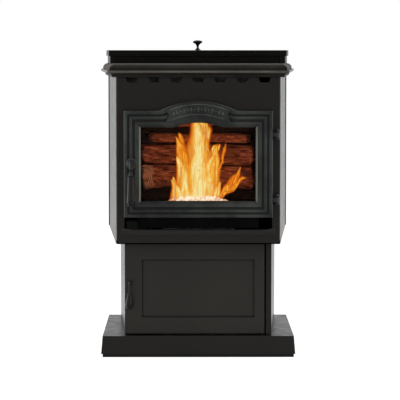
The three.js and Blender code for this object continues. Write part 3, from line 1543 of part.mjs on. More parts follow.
// A squirrel cage: a back disc, a front ring and a ring of blades between them.
function distributionFanWheel() {
  const at = [0, roomFan.y, roomFan.z];
  const r = roomFan.wheel;
  const front = roomFan.x + 8;
  const back = roomFan.x + roomFan.wide - 10;
  const disc = rod("x", back - 2, back, r, at, ROUND_SIDES);
  const ring = tube("x", front, front + 3, r - 8, r, at);
  const hub = rod("x", back - 16, back, 9, at);
  const shaft = rod("x", back - 1, roomFan.x + roomFan.wide + fanShaft.past, fanShaft.radius, at);
  const blades = Array.from({ length: 10 }, (_, i) => {
    const blade = box(front + 1, back - 1, -3.4, 3.4, -0.6, 0.6);
    blade.rotateX(0.6);
    blade.translate(0, r - 4.2, 0);
    blade.rotateX((i * Math.PI) / 5);
    return blade.translate(...at);
  });
  return join(disc, ring, hub, shaft, ...blades);
}

// Carries the room air from the blower up and over the firebox.
function airDuct() {
  const { sheet, headGap, mouthUp } = duct;
  const { x, wide, y, z, reach, radius, growth, throat, wall } = roomFan;
  const outletTop = y - (radius + growth);
  const outletSill = y - (radius + growth - throat);
  const low = z + reach + SEAT;
  const high = bodyTop - headGap;
  const shell = box(x, x + wide, outletTop - wall, outletSill + wall, low, high);
  const inside = box(x + sheet, x + wide - sheet, outletTop, outletSill, low - REACH, high - sheet);
  const front = box(
    x + sheet, x + wide - sheet, outletTop - 10, outletTop + REACH, firebox.top + mouthUp, high - sheet,
  );
  return cut(shell, inside, front);
}

function powerInlet() {
  const { x, z, wide, high, flangeWide, flangeHigh, flange, recess, wall, corner, bladePitch } = inlet;
  const face = rearFace + SEAT + flange;
  const block = box(x - wide / 2, x + wide / 2, rearFace - 22, face, z - high / 2, z + high / 2);
  const plate = box(
    x - flangeWide / 2, x + flangeWide / 2, rearFace + SEAT, face, z - flangeHigh / 2, z + flangeHigh / 2,
  );
  const half = wide / 2 - wall;
  const deep = high / 2 - wall;
  const hollow = extrude("y", face - recess, face + REACH, [
    [x - half, z - deep],
    [x + half, z - deep],
    [x + half, z + deep - corner],
    [x + half - corner, z + deep],
    [x - half + corner, z + deep],
    [x - half, z + deep - corner],
  ]);
  const blades = [-1, 0, 1].map((side) => {
    const middle = x + side * bladePitch;
    const low = z - 3 + (side === 0 ? 3 : 0);
    return box(middle - 1, middle + 1, face - recess - 1, face - 3, low, low + 4);
  });
  return join(cut(join(block, plate), hollow), ...blades);
}

// ---------------------------------------------------------------------------------------------------
// The assembled stove
// ---------------------------------------------------------------------------------------------------

function switchMesh() {
  const mesh = part("power_switch", "plastic", powerSwitch());
  mesh.rotation.x = THREE.MathUtils.degToRad(-controls.switchTilt);
  mesh.position.set(dialX, switchY, switchZ);
  return mesh;
}

function lowerGripMesh() {
  const mesh = part("pedestal_door_grip", "glossBlack", lowerHandleGrip());
  mesh.rotation.y = Math.atan2(lowerHandle.x - lowerGrip.x, lowerHandleZ - lowerGrip.z);
  mesh.position.set(lowerGrip.x, pedestal.front - lowerHandle.forward, lowerGrip.z);
  return mesh;
}

const [heatKnobY, feedKnobY] = dialYs;

const mainHandle = movingGroup([handle.x, door.front, handle.z], [
  part("door_handle_spindle", "castIron", handleSpindle()),
  part("door_handle_grip", "glossBlack", handleGrip()),
]);

const mainDoor = movingGroup([hingeX, hinge.y, 0], [
  part("door_frame", "castIron", doorFrame()),
  part("door_glass", "ceramicGlass", doorGlass()),
  part("glass_retainer", "darkCast", glassRetainer()),
  part("door_gasket", "rope", doorGasket()),
  mainHandle,
]);

const pedestalHandle = movingGroup([lowerHandle.x, pedestal.front, lowerHandleZ], [
  part("pedestal_handle_spindle", "castIron", lowerHandleSpindle()),
  lowerGripMesh(),
]);

const pedestalDoorGroup = movingGroup([lowerPivot.x, lowerPivot.y, 0], [
  part("pedestal_door", "blackPaint", pedestalDoor()),
  pedestalHandle,
]);

const hopperLidGroup = movingGroup([0, lidPivot.y, lidPivot.z], [
  part("hopper_lid", "blackPaint", hopperLid()),
  part("lid_knob", "glossBlack", lidKnob()),
  part("lid_gasket", "rope", lidGasket()),
]);

const stove = new THREE.Group();
stove.add(
  part("base_plinth", "plinthPaint", basePlinth()),
  part("pedestal_left_side", "blackPaint", pedestalLeftSide()),
  part("pedestal_right_side", "blackPaint", pedestalRightSide()),
  part("pedestal_back", "blackPaint", pedestalBackPanel()),
  part("pedestal_top", "blackPaint", pedestalTopPlate()),
  pedestalDoorGroup,
  movingGroup([0, ashPan.front, panBottom], [
    part("ash_pan", "galvanised", ashPanTray()),
  ]),
  part("ash_chute", "galvanised", ashChute()),
  part("front_panel", "blackPaint", frontPanel()),
  part("left_side_panel", "blackPaint", leftSidePanel()),
  part("right_side_panel", "blackPaint", mirrored(leftSidePanel())),
  part("floor_pan", "blackPaint", floorPan()),
  part("rear_cover", "blackPaint", rearCover()),
  part("ash_lip", "blackPaint", ashLipShelf()),
  part("mantel_top", "castIron", mantelTopCasting()),
  part("hopper_neck", "blackPaint", hopperNeck()),
  part("hopper_box", "galvanised", hopperBox()),
  hopperLidGroup,
  part("lid_hinge_left", "steel", lidHinge(lidHingeXs[0])),
  part("lid_hinge_right", "steel", lidHinge(lidHingeXs[1])),
  part("control_panel", "blackPaint", controlPanel()),
  movingGroup([dialX, heatKnobY, panelTop], [part("heat_knob", "plastic", dialKnob(heatKnobY))]),
  movingGroup([dialX, feedKnobY, panelTop], [part("feed_knob", "plastic", dialKnob(feedKnobY))]),
  movingGroup([dialX, switchY, switchZ], [switchMesh()]),
  part("firebox_shell", "darkCast", fireboxShell()),
  part("log_liner", "firedLog", logLiner()),
  part("heat_exchanger", "steel", heatExchanger()),
  part("burn_pot", "darkCast", burnPot()),
  part("burn_pot_grate", "darkCast", burnPotGrate()),
  part("igniter", "steel", igniter()),
  part("auger_tube", "steel", augerTube()),
  movingGroup([0, tubeFront, feedZ], [part("feed_auger", "steel", feedAuger())]),
  part("feed_motor", "steel", feedMotor()),
  part("exhaust_passage", "galvanised", exhaustPassage()),
  part("combustion_blower_housing", "darkCast", combustionBlowerHousing()),
  movingGroup([draughtX, draught.y, draught.z], [
    part("combustion_fan_wheel", "steel", combustionFanWheel()),
  ]),
  part("combustion_blower_motor", "steel", fanMotor(draughtX + draught.wide + SEAT, draught)),
  part("flue_collar", "steel", flueCollar()),
  part("burn_air_box", "galvanised", burnAirBox()),
  part("air_intake_pipe", "galvanised", airIntakePipe()),
  part("distribution_blower_housing", "galvanised", distributionBlowerHousing()),
  movingGroup([roomFan.x, roomFan.y, roomFan.z], [
    part("distribution_fan_wheel", "galvanised", distributionFanWheel()),
  ]),
  part("distribution_blower_motor", "steel", fanMotor(roomFan.x + roomFan.wide + SEAT, roomFan)),
  part("air_duct", "galvanised", airDuct()),
  part("power_inlet", "plastic", powerInlet()),
  mainDoor,
  part("latch_keeper", "steel", latchKeeper()),
  part("upper_hinge_bracket", "castIron", hingeBracket(hinge.upperZ)),
  part("lower_hinge_bracket", "castIron", hingeBracket(hinge.lowerZ)),
  part("upper_hinge_pin", "castIron", hingePin(hinge.upperZ)),
  part("lower_hinge_pin", "castIron", hingePin(hinge.lowerZ)),
);

stove.updateMatrixWorld(true);
const bounds = new THREE.Box3().setFromObject(stove);
const centre = bounds.getCenter(new THREE.Vector3());
stove.position.set(-centre.x, -centre.y, -bounds.min.z);

export default stove;
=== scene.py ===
"""A free-standing pellet stove with its fire lit: finishes, turned pieces, ornament, fasteners,
log set, embers and flames, with camera and light.

Metres, +Z up, the front faces -Y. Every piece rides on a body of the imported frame.
"""
import json
import math
import random

import bpy
import numpy as np
from mathutils import Matrix, Vector, noise


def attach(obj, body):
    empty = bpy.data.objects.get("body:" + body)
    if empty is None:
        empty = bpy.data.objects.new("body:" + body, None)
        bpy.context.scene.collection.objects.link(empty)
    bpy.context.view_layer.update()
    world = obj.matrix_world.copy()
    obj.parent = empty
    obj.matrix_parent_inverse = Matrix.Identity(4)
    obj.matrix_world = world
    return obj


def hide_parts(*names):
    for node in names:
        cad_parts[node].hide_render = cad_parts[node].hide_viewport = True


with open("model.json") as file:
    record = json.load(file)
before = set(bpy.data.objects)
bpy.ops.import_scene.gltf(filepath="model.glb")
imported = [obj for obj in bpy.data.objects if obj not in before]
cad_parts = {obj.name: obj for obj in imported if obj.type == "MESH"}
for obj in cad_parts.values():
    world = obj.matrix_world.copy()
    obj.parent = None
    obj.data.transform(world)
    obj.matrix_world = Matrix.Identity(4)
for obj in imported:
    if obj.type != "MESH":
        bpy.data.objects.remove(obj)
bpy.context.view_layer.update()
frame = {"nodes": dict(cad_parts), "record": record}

MM = 0.001


# ---- Camera, floor and light ----

CAMERA_PLACE = (-0.024, -5.6664, 0.8331)
CAMERA_TURN = (85.734, 0.0, -0.305)  # degrees: up from straight down, roll, and to the side
FOCAL_LENGTH = 179.68
FLOOR_SIZE = 60.0
FLOOR_DROP = 0.0005  # how far the floor lies under the plinth
FLOOR_GLOW = 0.77
AMBIENT = 0.45  # the world's strength where it isn't seen directly
SOFTBOX_TARGET = (0, 0, 0.45)
# Each softbox: its name, place, width and height, and power in watts.
SOFTBOXES = [
    ("softbox_left", (-1.9, 0.0, 0.8), (1.3, 2.0), 26),
    ("softbox_right", (1.9, 0.0, 0.8), (1.3, 2.0), 24),
    ("front_left", (-1.7, -2.4, 1.4), (1.4, 2.2), 12),
    ("front_right", (1.7, -2.4, 1.4), (1.4, 2.2), 13),
    ("softbox_top", (0, -0.3, 2.8), (2.0, 1.4), 14),
]


def linear(red, green, blue):
    """A screen colour, 0 to 255, as the scene's linear one."""
    def one(value):
        value /= 255
        return value / 12.92 if value <= 0.04045 else ((value + 0.055) / 1.055) ** 2.4
    return (one(red), one(green), one(blue), 1.0)


def dimmed(colour, share):
    return tuple(value * share for value in colour[:3]) + (1,)


def add_camera():
    data = bpy.data.cameras.new("camera")
    data.lens = FOCAL_LENGTH
    data.sensor_width = 36
    data.clip_end = 100
    camera = bpy.data.objects.new("camera", data)
    camera.location = CAMERA_PLACE
    camera.rotation_euler = [math.radians(angle) for angle in CAMERA_TURN]
    bpy.context.scene.collection.objects.link(camera)
    bpy.context.scene.camera = camera


def seen_directly(tree):
    """1 for camera, glossy and transmission rays, and 0 for the rest."""
    path = tree.nodes.new("ShaderNodeLightPath")
    total = path.outputs["Is Camera Ray"]
    for name in ("Is Glossy Ray", "Is Transmission Ray"):
        step = tree.nodes.new("ShaderNodeMath")
        step.operation = "MAXIMUM"
        tree.links.new(total, step.inputs[0])
        tree.links.new(path.outputs[name], step.inputs[1])
        total = step.outputs[0]
    return total


def light_world():
    world = bpy.data.worlds.new("studio")
    bpy.context.scene.world = world
    world.use_nodes = True
    tree = world.node_tree
    background = tree.nodes["Background"]
    background.inputs["Color"].default_value = (1, 1, 1, 1)
    level = tree.nodes.new("ShaderNodeMapRange")
    level.inputs["To Min"].default_value = AMBIENT
    level.inputs["To Max"].default_value = 1.0
    tree.links.new(seen_directly(tree), level.inputs["Value"])
    tree.links.new(level.outputs["Result"], background.inputs["Strength"])


def lay_floor():
    half = FLOOR_SIZE / 2
    mesh = bpy.data.meshes.new("floor")
    corners = [(-half, -half, 0), (half, -half, 0), (half, half, 0), (-half, half, 0)]
    mesh.from_pydata(corners, [], [(0, 1, 2, 3)])
    floor = bpy.data.objects.new("floor", mesh)
    floor.location.z = -FLOOR_DROP
    bpy.context.scene.collection.objects.link(floor)

    material = bpy.data.materials.new("pale_floor")
    material.use_nodes = True
    tree = material.node_tree
    shader = tree.nodes["Principled BSDF"]
    shader.inputs["Base Color"].default_value = (0.55, 0.55, 0.55, 1)
    shader.inputs["Roughness"].default_value = 1.0
    shader.inputs["Specular IOR Level"].default_value = 0.0
    shader.inputs["Emission Color"].default_value = (1, 1, 1, 1)
    glow = tree.nodes.new("ShaderNodeMath")
    glow.operation = "MULTIPLY"
    glow.inputs[1].default_value = FLOOR_GLOW
    tree.links.new(seen_directly(tree), glow.inputs[0])
    tree.links.new(glow.outputs[0], shader.inputs["Emission Strength"])
    mesh.materials.append(material)


def set_view():
    bpy.context.scene.view_settings.view_transform = "Standard"


def add_light(name, kind, place, power):
    """Links a lamp that the camera doesn't see."""
    data = bpy.data.lights.new(name, kind)
    data.energy = power
    lamp = bpy.data.objects.new(name, data)
    lamp.location = place
    lamp.visible_camera = False
    bpy.context.scene.collection.objects.link(lamp)
    return lamp


def add_softboxes():
    for name, place, size, power in SOFTBOXES:
        lamp = add_light(name, "AREA", place, power)
        lamp.data.shape = "RECTANGLE"
        lamp.data.size, lamp.data.size_y = size
        aim = Vector(SOFTBOX_TARGET) - Vector(place)
        lamp.rotation_euler = aim.to_track_quat("-Z", "Y").to_euler()


# ---- Node materials ----

class Finish:
    """A procedural material while it is wired up. Patterns are laid out in metres on the piece."""

    def __init__(self, name, **constants):
        self.material = bpy.data.materials.new(name)
        self.material.use_nodes = True
        self.tree = self.material.node_tree
        self.shader = self.tree.nodes["Principled BSDF"]
        self.drive(**constants)
        self.place = self.add("TexCoord").outputs["Object"]
        self.rounded = None

    def plug(self, value, socket):
        if isinstance(value, bpy.types.NodeSocket):
            self.tree.links.new(value, socket)
        else:
            socket.default_value = value

    def fill(self, node, sockets):
        """Sets or links inputs by name, where an underscore stands for a space."""
        for name, value in sockets.items():
            self.plug(value, node.inputs[name.replace("_", " ")])
        return node

    def add(self, kind, **sockets):
        return self.fill(self.tree.nodes.new("ShaderNode" + kind), sockets)

    def drive(self, **sockets):
        self.fill(self.shader, sockets)

    def stretched(self, x, y, z):
        """The place on the piece with each axis scaled."""
        return self.add("Mapping", Scale=(x, y, z), Vector=self.place).outputs["Vector"]

    def noise(self, per_metre, detail=3.0, roughness=0.55, place=None, distortion=0.0):
        node = self.add(
            "TexNoise", Scale=per_metre, Detail=detail, Roughness=roughness,
            Distortion=distortion, Vector=place or self.place)
        return node.outputs["Fac"]

    def cells(self, per_metre, output="Distance"):
        return self.add("TexVoronoi", Scale=per_metre, Vector=self.place).outputs[output]

    def waves(self, per_metre, distortion, detail):
        node = self.add(
            "TexWave", Scale=per_metre, Distortion=distortion, Detail=detail, Vector=self.place)
        node.bands_direction = "DIAGONAL"
        return node.outputs["Fac"]

    def spread(self, value, low, high, to_low=0.0, to_high=1.0):
        """A value carried from one range over to another, and kept within it."""
        node = self.add(
            "MapRange", Value=value, From_Min=low, From_Max=high, To_Min=to_low, To_Max=to_high)
        return node.outputs["Result"]

    def math(self, operation, first, second=0.0):
        node = self.add("Math")
        node.operation = operation
        self.plug(first, node.inputs[0])
        self.plug(second, node.inputs[1])
        return node.outputs[0]

    def times(self, first, second):
        return self.math("MULTIPLY", first, second)

    def mix(self, factor, first, second, blend="MIX"):
        node = self.add("Mix")
        node.data_type = "RGBA"
        node.blend_type = blend
        self.plug(factor, node.inputs["Factor"])
        self.plug(first, node.inputs[6])  # the colours A and B have no names of their own
        self.plug(second, node.inputs[7])
        return node.outputs[2]

    def ramp(self, value, stops):
        """Colours by value. Each stop is where it lies and a screen colour."""
        node = self.add("ValToRGB", Fac=value)
        points = node.color_ramp.elements
        while len(points) < len(stops):
            points.new(0.5)
        for point, (where, *colour) in zip(points, stops):
            point.position = where
            point.color = linear(*colour)
        return node.outputs["Color"]

    def stored(self, name):
        """A value that the mesh keeps point by point."""
        node = self.add("Attribute")
        node.attribute_name = name
        return node.outputs["Fac"]

    def parted(self, vector):
        return self.add("SeparateXYZ", Vector=vector).outputs

    def sloping(self):
        """1 where a face slopes between the front and a side, 0 on faces square to either."""
        normal = self.parted(self.add("TexCoord").outputs["Normal"])
        sideways = self.math("ABSOLUTE", normal["X"])
        forwards = self.math("ABSOLUTE", normal["Y"])
        return self.times(self.spread(sideways, 0.25, 0.5), self.spread(forwards, 0.2, 0.4))

    def within(self, half_width):
        """1 no further than this from the middle of the stove, 0 beyond."""
        across = self.math("ABSOLUTE", self.parted(self.place)["X"])
        return self.spread(across, half_width + MM, half_width)

    def below(self, height):
        """1 under this height at rest, 0 above it."""
        return self.spread(self.parted(self.place)["Z"], height + MM, height - MM)

    def creases(self, reach):
        """1 deep in corners and grooves, 0 on open faces."""
        node = self.add("AmbientOcclusion", Distance=reach)
        node.samples = 6
        node.only_local = True
        return self.spread(node.outputs["AO"], 0.93, 0.5)

    def facing_up(self):
        normal = self.add("NewGeometry").outputs["Normal"]
        return self.spread(self.parted(normal)["Z"], 0.3, 1.0)

    def edges(self, radius):
        """1 on corners and edges, 0 on open faces. The relief then lies over rounded edges."""
        bevel = self.add("Bevel", Radius=radius)
        bevel.samples = 4
        self.rounded = bevel.outputs["Normal"]
        dot = self.add("VectorMath")
        dot.operation = "DOT_PRODUCT"
        self.plug(self.rounded, dot.inputs[0])
        self.plug(self.add("NewGeometry").outputs["True Normal"], dot.inputs[1])
        return self.spread(dot.outputs["Value"], 0.995, 0.85)

    def bump(self, *layers):
        """The material, with relief from pairs of a height and its depth in metres."""
        normal = self.rounded
        for height, depth in layers:
            node = self.add("Bump", Strength=1.0, Distance=depth, Height=height)
            if normal is not None:
                self.plug(normal, node.inputs["Normal"])
            normal = node.outputs["Normal"]
        self.drive(Normal=normal)
        return self.material


def stove_paint(name, colour, rub, specular, roughness, crease_shade=0.0, dark_foot=0.0):
    """Sprayed paint: fine speckle, faint clouding, and thinner paint on the edges."""
    finish = Finish(name, Specular_IOR_Level=specular, Specular_Tint=(1.0, 0.93, 0.88, 1.0))
    edge = finish.times(finish.edges(0.9 * MM), finish.noise(160, 4, 0.7))
    clouds = finish.noise(5, 4)
    fine = finish.noise(1400, 2)
    darker = dimmed(colour, 0.82)
    body = finish.mix(finish.spread(clouds, 0.35, 0.65), darker, colour)
    speckled = finish.mix(finish.spread(fine, 0.55, 0.75, 0, 0.25), body, rub)
    shade = finish.mix(edge, speckled, rub)
    # Painted shade: the colour goes to near-black in corners and grooves, within the given reach.
    if crease_shade:
        shade = finish.mix(finish.creases(crease_shade), shade, linear(2, 2, 2))
    if dark_foot:
        shade = finish.mix(finish.below(dark_foot), shade, linear(4, 4, 4))
    finish.drive(
        Base_Color=shade,
        Roughness=finish.spread(finish.noise(38, 3), 0.3, 0.7, *roughness),
    )
    return finish.bump((finish.noise(420, 3), 0.05 * MM), (fine, 0.03 * MM))


def cast_iron(name, colour, high, specular, roughness, slopes=0.0, crease_shade=1.0):
    """Sand-cast iron under paint: pebbled grain and pits, edges lightened partly by wear and partly
    as painted highlight, and painted shade in the creases.

    Slopes between front and side carry a painted highlight as far out as the width called slopes.
    """
    finish = Finish(name, Specular_IOR_Level=specular)
    edge = finish.edges(1.6 * MM)
    grain = finish.noise(620, 4, 0.65)
    pits = finish.cells(330)
    tone = finish.mix(finish.spread(finish.noise(14, 4), 0.35, 0.65, 0, 0.5), colour, high)
    # Edges lightened towards the high colour: partly wear, partly a painted highlight on the
    # ridges.
    edge_wear_and_highlight = finish.times(edge, finish.spread(finish.noise(240, 3), 0.3, 0.7, 0.35, 1))
    shade = finish.mix(finish.spread(grain, 0.5, 0.8, 0, 0.3), tone, high)
    shade = finish.mix(edge_wear_and_highlight, shade, high)
    # Painted highlight: faces sloping between front and side are painted pale within the given
    # width.
    if slopes:
        bevel_highlight = finish.times(finish.sloping(), finish.within(slopes))
        shade = finish.mix(bevel_highlight, shade, linear(128, 130, 120))
    # Painted shade: the colour goes to near-black in corners and grooves.
    shade = finish.mix(finish.times(finish.creases(9 * MM), crease_shade), shade, linear(5, 5, 5))
    finish.drive(Base_Color=shade, Roughness=finish.spread(grain, 0.3, 0.7, *roughness))
    return finish.bump(
        (finish.noise(90, 2), 0.12 * MM), (grain, 0.12 * MM), (pits, 0.06 * MM))


def firebox_iron():
    """Heat-blued and sooted plate, with pale fly ash lying on what faces up."""
    finish = Finish("firebox_iron", Specular_IOR_Level=0.12)
    finish.edges(1.5 * MM)
    soot = finish.noise(24, 5, 0.6)
    scale = finish.noise(260, 4, 0.7)
    plate = finish.mix(
        finish.spread(soot, 0.3, 0.7), linear(7, 7, 10), linear(22, 19, 18))
    rusty = finish.mix(finish.spread(scale, 0.58, 0.8, 0, 0.3), plate, linear(58, 38, 28))
    ash = finish.times(finish.facing_up(), finish.spread(scale, 0.42, 0.68, 0, 0.25))
    finish.drive(
        Base_Color=finish.mix(ash, rusty, linear(120, 114, 108)),
        Roughness=finish.spread(soot, 0.3, 0.7, 0.62, 0.9),
    )
    return finish.bump((scale, 0.25 * MM), (finish.noise(1100, 2), 0.06 * MM))


def gloss_black():
    """Stoved enamel with a faint orange peel."""
    finish = Finish("gloss_black", Specular_IOR_Level=0.06, Coat_Weight=0.22, Coat_Roughness=0.04)
    finish.edges(0.8 * MM)
    finish.drive(
        Base_Color=finish.mix(finish.noise(30, 3), linear(2, 2, 3), linear(6, 6, 8)),
        Roughness=finish.spread(finish.noise(260, 2), 0.3, 0.7, 0.12, 0.22),
    )
    return finish.bump((finish.noise(480, 2), 0.02 * MM))


def dial_paint():
    """Pale print on the control panel, with slight wear."""
    finish = Finish("dial_paint", Specular_IOR_Level=0.3)
    wear = finish.noise(700, 4, 0.7)
    finish.drive(
        Base_Color=finish.mix(finish.spread(wear, 0.5, 0.75, 0, 0.5), linear(206, 204, 198),
                              linear(120, 118, 114)),
        Roughness=finish.spread(wear, 0.3, 0.7, 0.5, 0.7),
    )
    return finish.bump((wear, 0.03 * MM))


def steel(name, colour, grain, per_metre, roughness, spangle=0.0):
    """Bare metal: drawn or rolled grain along one axis, or zinc spangle where spangle is set."""
    finish = Finish(name, Metallic=1.0)
    finish.edges(0.6 * MM)
    lines = finish.noise(per_metre, 3, 0.6, place=finish.stretched(*grain))
    dark = dimmed(colour, 0.72)
    shade = finish.mix(finish.spread(lines, 0.3, 0.7), dark, colour)
    if spangle:
        leaf = finish.cells(spangle, output="Color")
        shade = finish.mix(0.2, shade, leaf, "SOFT_LIGHT")
    finish.drive(
        Base_Color=finish.mix(finish.spread(finish.noise(12, 4), 0.5, 0.75, 0, 0.35), shade, dark),
        Roughness=finish.spread(lines, 0.3, 0.7, *roughness),
    )
    return finish.bump((lines, 0.02 * MM))


def black_plastic():
    """Moulded thermoset with a spark-eroded texture."""
    finish = Finish("black_plastic", Specular_IOR_Level=0.4)
    finish.edges(0.7 * MM)
    spark = finish.cells(1500)
    finish.drive(
        Base_Color=finish.mix(finish.noise(60, 3), linear(20, 20, 21), linear(34, 34, 35)),
        Roughness=finish.spread(spark, 0.0, 0.8, 0.45, 0.62),
    )
    return finish.bump((spark, 0.04 * MM))


def glass_rope():
    """Knitted glass fibre, grey and lightly sooted."""
    finish = Finish("rope", Specular_IOR_Level=0.3, Sheen_Weight=0.3)
    knit = finish.waves(420, 1.5, 2)
    fibres = finish.noise(2600, 2)
    grey = finish.mix(knit, linear(58, 56, 54), linear(124, 121, 116))
    sooted = finish.spread(finish.noise(40, 4), 0.5, 0.8)
    finish.drive(
        Base_Color=finish.mix(sooted, grey, linear(34, 32, 31)),
        Roughness=finish.spread(fibres, 0.3, 0.7, 0.75, 0.95),
    )
    return finish.bump((knit, 0.5 * MM), (fibres, 0.15 * MM))


def door_glazing():
    """Clear glass ceramic, faintly warm, with a light cloudy haze of fly ash."""
    finish = Finish("glazing", Transmission_Weight=1.0, IOR=1.08, Specular_IOR_Level=0.5)
    haze = finish.noise(18, 4)
    finish.drive(
        Base_Color=finish.mix(haze, linear(238, 234, 228), linear(248, 246, 242)),
        Roughness=finish.spread(finish.noise(40, 3), 0.55, 0.8, 0.0, 0.03),
    )
    return finish.material


def fired_log():
    """Cast refractory log: red-brown bark, charred fissures, pale cut ends with growth rings."""
    finish = Finish("fired_log", Specular_IOR_Level=0.18)
    along = finish.stretched(1.0, 5.0, 5.0)
    fibre = finish.noise(34, 6, 0.68, place=along, distortion=1.2)
    mottle = finish.noise(70, 5, 0.7)
    bark = finish.ramp(fibre, [
        (0.30, 34, 16, 12), (0.43, 96, 46, 32), (0.55, 150, 84, 60),
        (0.68, 190, 122, 94), (0.82, 212, 158, 132)])
    bark = finish.mix(finish.spread(mottle, 0.46, 0.7, 0, 0.55), bark, linear(84, 44, 36))
    rings = finish.stored("ring")
    cut = finish.ramp(finish.math("FRACT", finish.times(rings, 9.0)), [
        (0.0, 66, 38, 30), (0.25, 150, 104, 84), (0.7, 176, 128, 104),
        (1.0, 80, 48, 38)])
    colour = finish.mix(finish.stored("cut"), bark, cut)
    char = finish.stored("char")
    finish.drive(
        Base_Color=finish.mix(char, colour, linear(3, 3, 5)),
        Roughness=finish.spread(mottle, 0.3, 0.7, 0.8, 0.98),
    )
    return finish.bump((fibre, 1.6 * MM), (mottle, 0.5 * MM))


def pellet_embers():
    """Pressed wood pellets, charred outside and glowing where the bed is hottest."""
    finish = Finish("pellet_embers", Specular_IOR_Level=0.1)
    heat = finish.stored("warmth")
    flicker = finish.noise(120, 4, 0.7)
    glow = finish.times(heat, finish.spread(flicker, 0.25, 0.6, 0.55, 1.2))
    finish.drive(
        Base_Color=finish.mix(flicker, linear(30, 18, 14), linear(96, 62, 46)),
        Roughness=finish.spread(flicker, 0.3, 0.7, 0.8, 0.95),
        Emission_Color=finish.ramp(glow, [
            (0.0, 70, 12, 4), (0.22, 208, 74, 38), (0.45, 250, 144, 96),
            (0.7, 255, 206, 160), (0.95, 255, 248, 232)]),
        Emission_Strength=finish.spread(glow, 0.05, 0.9, 0.1, 1.05),
    )
    return finish.bump((flicker, 0.6 * MM))


def flame_glow():
    """Burning gas: white-yellow in the heart, orange with darker streaks towards the rim."""
    finish = Finish("flame", Roughness=1.0, Specular_IOR_Level=0.0, Base_Color=(0, 0, 0, 1))
    heart = finish.stored("heart")
    streaks = finish.noise(30, 5, 0.62, place=finish.stretched(3.4, 3.4, 0.62), distortion=1.1)
    hot = finish.times(heart, finish.spread(streaks, 0.34, 0.64, 0.5, 1.08))
    finish.drive(
        Emission_Color=finish.ramp(hot, [
            (0.0, 150, 40, 4), (0.22, 224, 92, 12), (0.45, 250, 146, 30),
            (0.7, 254, 190, 62), (1.0, 255, 238, 166)]),
        Emission_Strength=finish.spread(hot, 0.0, 0.8, 0.8, 1.0),
        Alpha=finish.times(finish.stored("body"), finish.spread(streaks, 0.3, 0.58, 0.22, 0.95)),
    )
    finish.material.surface_render_method = "BLENDED"
    return finish.material


RUB = linear(60, 57, 53)
FINISHES = {
    "casing_paint": stove_paint("casing_paint", linear(25, 24, 23), RUB, 0.15, (0.26, 0.36)),
    "plinth_paint": stove_paint(
        "plinth_paint", linear(24, 24, 23), RUB, 0.15, (0.28, 0.4), dark_foot=0.009),
    "cast_iron": cast_iron("cast_iron", linear(14, 15, 15), linear(44, 46, 44), 0.14, (0.22, 0.36)),
    "firebox_iron": firebox_iron(),
    "gloss_black": gloss_black(),
    "bright_steel": steel("bright_steel", linear(176, 174, 170), (1, 1, 14), 60, (0.18, 0.34)),
    "galvanised": steel("galvanised", linear(158, 160, 160), (1, 3, 1), 40, (0.34, 0.5), 90),
    "fired_log": fired_log(),
    "rope": glass_rope(),
    "black_plastic": black_plastic(),
    "glass": door_glazing(),
}
# Painted shade darkens the pedestal's paint within 7 mm of its corners, such as round the door's
# recess.
PEDESTAL_PAINT = stove_paint(
    "pedestal_paint", linear(42, 41, 38), RUB, 0.15, (0.28, 0.4), crease_shade=7 * MM)
# Darker than the casing paint: on the hopper neck it is painted shade under the lid's overhang; on
# the lid it is a darker paint.
LID_PAINT_AND_NECK_SHADE = stove_paint("lid_paint_and_neck_shade", linear(12, 12, 11), linear(24, 24, 23), 0.06, (0.3, 0.42))
# The door's iron carries a painted highlight on its sloping moulding faces, out to 159 mm from the
# middle.
DOOR_IRON = cast_iron(
    "door_iron", linear(21, 23, 22), linear(80, 84, 79), 0.14, (0.28, 0.44), 0.159)
MANTEL_IRON = cast_iron(
    "mantel_iron", linear(24, 22, 19), linear(48, 44, 38), 0.07, (0.45, 0.6), crease_shade=0.0)
# A lighter copy of the cast iron for the mantel's bead: a painted highlight along the rounded lip.
BEAD_HIGHLIGHT_IRON = cast_iron(
    "bead_iron_painted_highlight", linear(60, 55, 49), linear(108, 102, 92), 0.25, (0.3, 0.42), crease_shade=0.0)
BAND_IRON = cast_iron("band_iron", linear(50, 52, 50), linear(120, 123, 117), 0.2, (0.3, 0.45))
# Near-black without sheen: painted shade on the heat exchanger behind the louvres and on the floor
# pan seen through the ash slot; also the black of the rear seal.
SHADE_AND_SEAL_BLACK = stove_paint("shade_and_seal_black", linear(4, 4, 5), linear(10, 10, 11), 0.0, (0.8, 0.95))
NODE_FINISHES = {
    "pedestal_door": PEDESTAL_PAINT,
    "hopper_lid": LID_PAINT_AND_NECK_SHADE,
    "hopper_neck": LID_PAINT_AND_NECK_SHADE,
    "mantel_top": MANTEL_IRON,
    "door_frame": DOOR_IRON,
    "heat_exchanger": SHADE_AND_SEAL_BLACK,
    "floor_pan": SHADE_AND_SEAL_BLACK,
}
DIAL_PAINT = dial_paint()
EMBERS = pellet_embers()
FLAME = flame_glow()


def finish_nodes():
    """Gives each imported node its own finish, or else the finish of its slot."""
    slots = {part["node"]: part["material_slot"] for part in frame["record"]["subparts"]}
    for name, node in frame["nodes"].items():
        for place in node.material_slots:
            place.material = NODE_FINISHES.get(name, FINISHES[slots[name]])


# ---- Mesh helpers ----

def add_piece(name, mesh, material, body):
    """Links a mesh, shaded smooth, as a piece that rides on a body."""
    mesh.materials.append(material)
    mesh.polygons.foreach_set("use_smooth", [True] * len(mesh.polygons))
    piece = bpy.data.objects.new(name, mesh)
    bpy.context.scene.collection.objects.link(piece)
    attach(piece, body)
    return piece


def mesh_of(name, vertices, faces, **values):
    """A mesh that keeps the named values point by point."""
    mesh = bpy.data.meshes.new(name)
    mesh.from_pydata([tuple(v) for v in vertices], [], faces)
    mesh.update()
    for key, numbers in values.items():
        mesh.attributes.new(key, "FLOAT", "POINT").data.foreach_set("value", numbers)
    return mesh


